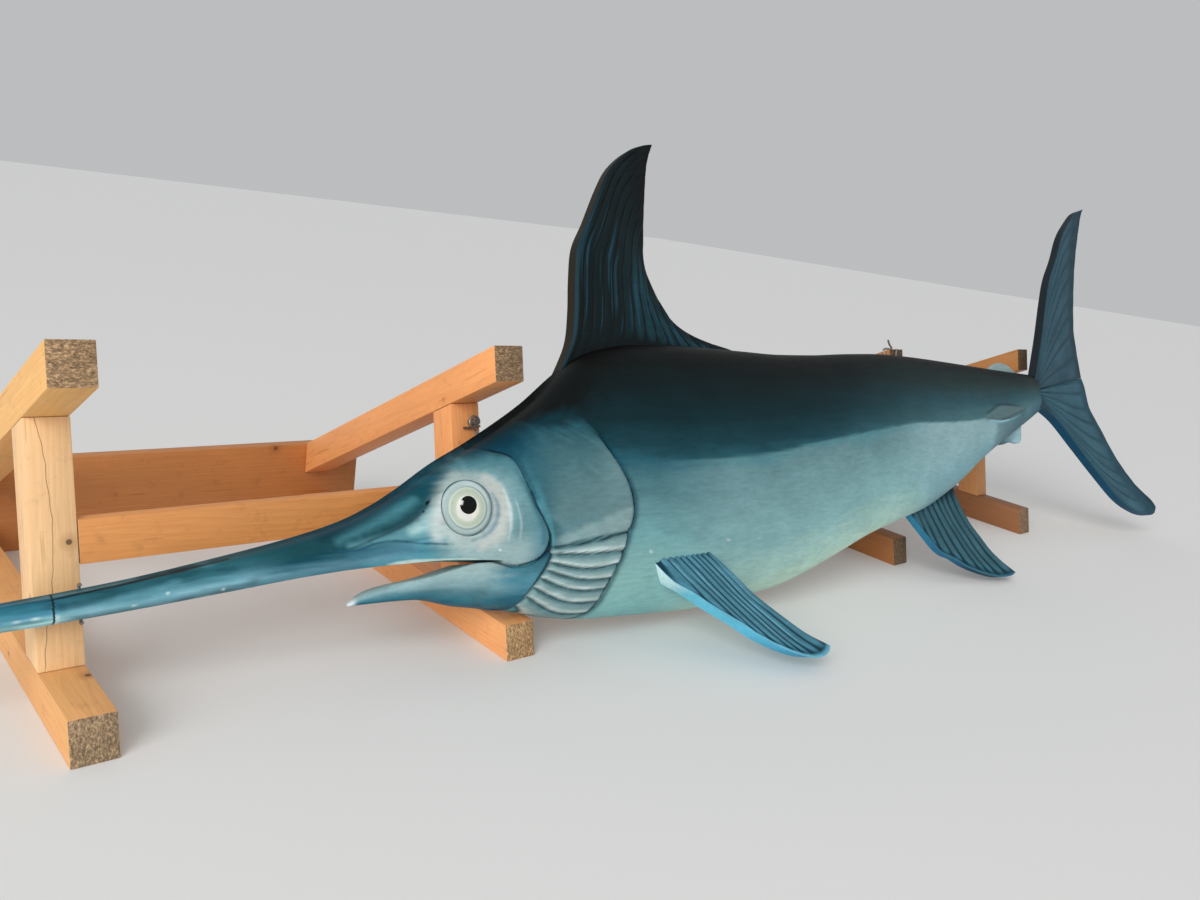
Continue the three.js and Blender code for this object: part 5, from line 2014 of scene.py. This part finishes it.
@dataclass
class Stick:
    """One timber of a rack, with its grain along one axis and its face across another."""

    node: str
    grain: Vector
    up: Vector
    seed: int
    tone_and_light: WoodToneAndLight
    knots: tuple[tuple[float, float, float, float], ...] = ()
    cracks: tuple[tuple[float, ...], ...] = ()

    def build(self) -> Piece:
        """Model the timber with eased edges.

        Returns:
            The piece.
        """
        piece = copied(self.node, self.node.replace("stand", "rack"))
        ease_edges(piece, 2, 30)
        smooth(piece, 35)
        return piece

    def dress(self, piece: Piece) -> None:
        """Give the timber its grain.

        Args:
            piece: The timber as it is modelled.
        """
        low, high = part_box(self.node)
        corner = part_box("stand_foot_1")[0]
        x = self.grain.normalized()
        z = self.up.normalized()
        y = z.cross(x)
        matrix = Matrix((x, y, z)).transposed().to_4x4()
        matrix.translation = (low + high) / 2
        draw = np.random.default_rng(self.seed)
        pith = (float(draw.uniform(-0.03, 0.03)), float(draw.uniform(-0.07, -0.03)))
        # The tone pair holds painted light as well as the wood's own colour.
        pale, end = (tone(code) for code in self.tone_and_light.value)
        wood = Timber(
            piece.name + "_wood", matrix, pale=tuple(pale), dark=tuple(pale * np.array([0.52, 0.40, 0.30])),
            end=tuple(end), pith=pith, seed=float(draw.uniform(0, 9)),
            knots=tuple((corner + Vector(k[:3]) * MM, k[3] * MM) for k in self.knots),
            cracks=tuple((corner + Vector(c[:3]) * MM, corner + Vector(c[3:]) * MM) for c in self.cracks))
        piece.data.materials.append(wood.make())
        settle(piece, "rack_wood", self.node)


def racks() -> list[Stick]:
    """Return all timbers of the two racks.

    Returns:
        The timbers, sloping frames first, then rails and boards.
    """
    lean = math.radians(15)
    slope = math.radians(28)
    along, across, upright = Vector((0, 1, 0)), Vector((1, 0, 0)), Vector((0, 0, 1))
    post = Vector((0, math.sin(lean), math.cos(lean)))
    arm = Vector((0, math.cos(slope), -math.sin(slope)))
    # The tones listed for the four frames hold painted light: paler on the timbers in bright light, most of
    # all on the first frame, and darker on the third and fourth frames, in shade.
    kinds = {
        "foot": (along, upright, 0, (WoodToneAndLight.HONEY, WoodToneAndLight.PEACH, WoodToneAndLight.UMBER, WoodToneAndLight.DUSK)),
        "post": (post, across, 10, (WoodToneAndLight.STRAW, WoodToneAndLight.ORANGE, WoodToneAndLight.BROWN, WoodToneAndLight.TAN)),
        "arm": (arm, across, 20, (WoodToneAndLight.CREAM, WoodToneAndLight.ORANGE, WoodToneAndLight.BROWN, WoodToneAndLight.BROWN)),
        "rail": (across, post, 30, (WoodToneAndLight.AMBER, WoodToneAndLight.BROWN)),
        "board": (across, upright, 40, (WoodToneAndLight.BARK, WoodToneAndLight.BROWN)),
    }
    knots = {
        "foot_1": ((34.5, 80, 37, 4.6), (0, 200, 12, 3)),
        "post_1": ((30.6, 126.9, 143.8, 4.6), (0, 124, 98, 3), (12, 112, 84, 1.4), (27, 106, 62, 1.2)),
        "post_2": ((440, 143, 206, 2.0),),
        "arm_2": ((430, 170, 250, 2.6),),
        "rail_1": ((300, 123, 150, 2.2), (420, 121, 138, 4.5)),
        "board_1": ((385, 494, 107, 4.8), (180, 494, 60, 2.2), (260, 494, 92, 1.6)),
        "post_3": ((1200, 130, 160, 3),),
        "foot_3": ((1210, 150, 38, 3),),
    }
    cracks = {
        "post_1": ((3.0, 97.4, 33.5, 15.8, 117.0, 106.3), (14.3, 113.7, 94.4, 20.1, 133.9, 169.6),
                   (20.2, 130.6, 157.4, 10.1, 157.0, 256.0)),
    }
    order = [(kind, number) for number in range(1, 5) for kind in ("foot", "post", "arm")]
    order += [(kind, number) for number in (1, 2) for kind in ("rail", "board")]
    sticks = []
    for kind, number in order:
        grain, up, seed, tones = kinds[kind]
        label = f"{kind}_{number}"
        sticks.append(Stick("stand_" + label, grain, up, seed + number, tones[number - 1],
                            knots.get(label, ()), cracks.get(label, ())))
    return sticks


@dataclass
class Tie:
    """Wire, bolt or nail that holds the carving."""

    node: str

    def build(self) -> Piece:
        """Model the tie.

        Returns:
            The piece.
        """
        piece = copied(self.node, self.node.replace("stand", "tie"))
        smooth(piece, 50)
        return piece

    def dress(self, piece: Piece, material: Material) -> None:
        """Give the tie its metal."""
        piece.data.materials.append(material)
        settle(piece, "tie_steel", self.node)


@dataclass
class Studio:
    """Plain floor, soft lights and the camera."""

    floor_size: float = 30.0
    focus: float = 30.09
    eye: Triple = (-1.056825, -0.931509, 0.485)
    right: Triple = (0.7407, -0.6581, 0.1351)
    up: Triple = (0.0581, 0.2630, 0.9630)
    back: Triple = (-0.6693, -0.7055, 0.2330)

    def floor(self) -> None:
        """Lay the floor."""
        bpy.ops.mesh.primitive_plane_add(size=self.floor_size)
        plane = bpy.context.object
        plane.name = "floor"
        g = Graph("floor_paint")
        g.feed("Base Color", (0.80, 0.80, 0.79, 1))
        g.feed("Roughness", 0.7)
        plane.data.materials.append(g.material)

    def lamp(self, name: str, kind: str, power: float, tint: Triple, place: Triple,
             aim: Triple) -> bpy.types.Light:
        """Hang a soft light.

        Args:
            name: The light's name.
            kind: Its type.
            power: Its strength.
            tint: Its colour.
            place: Where it hangs.
            aim: Direction that it shines in.

        Returns:
            The light's settings.
        """
        data = bpy.data.lights.new(name, kind)
        data.energy = power
        data.color = tint
        lamp = linked(name, data)
        lamp.location = place
        lamp.rotation_euler = Vector(aim).to_track_quat("-Z", "Y").to_euler()
        return data

    def lights(self) -> None:
        """Hang the lights and set the sky."""
        window = self.lamp("window", "SUN", 1.85, (1, 0.985, 0.96), (0, 0, 0), (0.82, 0.42, -0.46))
        window.angle = math.radians(40)
        key = self.lamp("key", "AREA", 14, (1, 0.98, 0.95), (-2.2, -1.8, 2.0), (2.3, 1.8, -1.8))
        key.size = 1.6
        world = bpy.data.worlds.new("studio")
        bpy.context.scene.world = world
        world.use_nodes = True
        sky = world.node_tree.nodes["Background"]
        sky.inputs["Color"].default_value = (0.96, 0.98, 1, 1)
        sky.inputs["Strength"].default_value = 0.52
        bpy.context.scene.view_settings.view_transform = "Standard"

    def camera(self) -> None:
        """Set the camera at the photo's angle."""
        data = bpy.data.cameras.new("camera")
        data.sensor_width = 36
        data.lens = self.focus
        camera = linked("camera", data)
        matrix = Matrix((self.right, self.up, self.back)).transposed().to_4x4()
        matrix.translation = Vector(self.eye)
        camera.matrix_world = matrix
        bpy.context.scene.camera = camera


def fins() -> list[Fin]:
    """Return the five large fins.

    Returns:
        The fins, from the back round the tail.
    """
    return [
        Fin("dorsal_fin_board", "dorsal_fin", FinCoat.DORSAL,
            root=[(93, 76), (120, 90), (180, 104), (250, 106), (320, 104), (372, 101)],
            margin=[(281, 385), (268, 355), (257, 301), (249, 252), (246, 226), (251, 204), (263, 178),
                    (284, 149), (310, 134), (340, 124), (385, 114)],
            first=[(93, 76), (116, 115), (126, 155), (132, 195), (141, 235), (161, 269), (187, 315),
                   (208, 345), (237, 369), (264, 381), (281, 385)],
            last=[(372, 101), (385, 114)], rays=14, crowding=1.6, edge=(14, 4, -4)),
        Fin("tail_upper_board", "tail_upper_lobe", FinCoat.UPPER,
            root=[(1118, 80), (1118, 61)],
            margin=[(1391, 425), (1380, 416), (1360, 380), (1330, 315), (1308, 251), (1290, 181),
                    (1289, 144), (1291, 101), (1293, 86)],
            first=[(1118, 80), (1127, 93), (1165, 163), (1195, 224), (1221, 271), (1258, 316), (1291, 361),
                   (1324, 390), (1358, 414), (1391, 425)],
            last=[(1118, 61), (1293, 86)], rays=9, crowding=1.1, edge=(14, 3, -4)),
        Fin("tail_lower_board", "tail_lower_lobe", FinCoat.LOWER,
            root=[(1118, 60.6), (1118, 32)],
            margin=[(1293, 85.6), (1300, 64), (1305, 29), (1334, -13), (1375, -70), (1429, -122),
                    (1482, -156), (1499, -172)],
            first=[(1118, 60.6), (1293, 85.6)],
            last=[(1118, 32), (1142, 24), (1179, 2), (1227, -40), (1290, -95), (1357, -149), (1416, -176),
                  (1461, -186), (1488, -184), (1499, -172)],
            rays=9, crowding=1.1, edge=(14, 3, -4), turned=True),
        Fin("pectoral_fin_board", "pectoral_fin", FinCoat.PECTORAL,
            root=[(160, -138), (195, -128), (238, -132)],
            margin=[(154, -145), (158, -154), (163, -166), (171, -179), (188, -193), (209, -214),
                    (230, -232), (253, -254), (279, -271), (305, -281), (326, -280), (338, -272)],
            first=[(160, -138), (154, -145)],
            last=[(238, -132), (241, -149), (250, -164), (260, -183), (271, -204), (294, -233), (314, -255),
                  (338, -272)],
            rays=9, crowding=0.5, thickness=30, face=(-26, 0.058, -0.63), ridge=3.4),
        Fin("anal_fin_board", "anal_fin", FinCoat.ANAL,
            root=[(712, -118), (775, -100), (836, -90)],
            margin=[(706, -126), (713, -136), (722, -152), (733, -171), (744, -189), (757, -200),
                    (773, -207), (795, -221), (825, -234), (862, -244.5), (893, -246), (909, -242)],
            first=[(712, -118), (706, -126)],
            last=[(836, -90), (833, -113), (835, -133), (842, -157), (854, -179), (867, -202), (886, -223),
                  (909, -242)],
            rays=9, crowding=0.75, thickness=16, face=(-41.5, 0.0406, -0.267), ridge=3.0),
    ]


def small_fins() -> list[SmallFin]:
    """Return the two little fins in front of the tail.

    Returns:
        The fins, the upper one first.
    """
    return [
        SmallFin("second_dorsal_board", "second_dorsal_fin",
                 [(990, 88), (999, 101), (1024, 110), (1046, 108), (1062, 102), (1072, 88)],
                 (0.5, 7), "8ba0a2", "8ba0a2"),
        SmallFin("second_anal_board", "second_anal_fin",
                 [(978, -24), (1052, 4), (1056, -9), (1047, -31), (1018, -29), (990, -33)],
                 (6, 14), "4f747d", "9abcc6"),
    ]


def main() -> None:
    """Build, dress and place every piece."""
    logging.basicConfig(level=logging.INFO, format="%(message)s")
    studio = Studio()
    studio.camera()
    studio.lights()
    studio.floor()
    painted = BrushedPaint("brushed_body").make()
    bare = Timber("bare_back", CARVING.matrix, (0.56, 0.40, 0.23), (0.30, 0.17, 0.08), planks=0.085).make()
    body = Body()
    skin = body.build()
    body.dress(skin, [painted, bare])
    jaw = Jaw(body)
    jaw.dress(jaw.build(), [painted])
    eye = Eye()
    eye.dress(eye.build(), [
        BrushedPaint(name, gloss, streaks=0.03, blotches=0.03, flecks=0).make()
        for name, gloss in (("eye_coat", 0.32), ("pupil_coat", 0.25))])
    fin_coat = BrushedPaint("brushed_fin").make()
    for fin in fins():
        fin.dress(fin.build(), [fin_coat, bare])
    for fin in small_fins():
        fin.dress(fin.build(), [fin_coat])
    for stick in racks():
        stick.dress(stick.build())
    steel = DullSteel().make()
    for label in ("bolt", "nail", "wire_head", "wire_arm", "wire_back", "wire_bill"):
        tie = Tie("stand_" + label)
        tie.dress(tie.build(), steel)


if __name__ == "__main__":
    main()
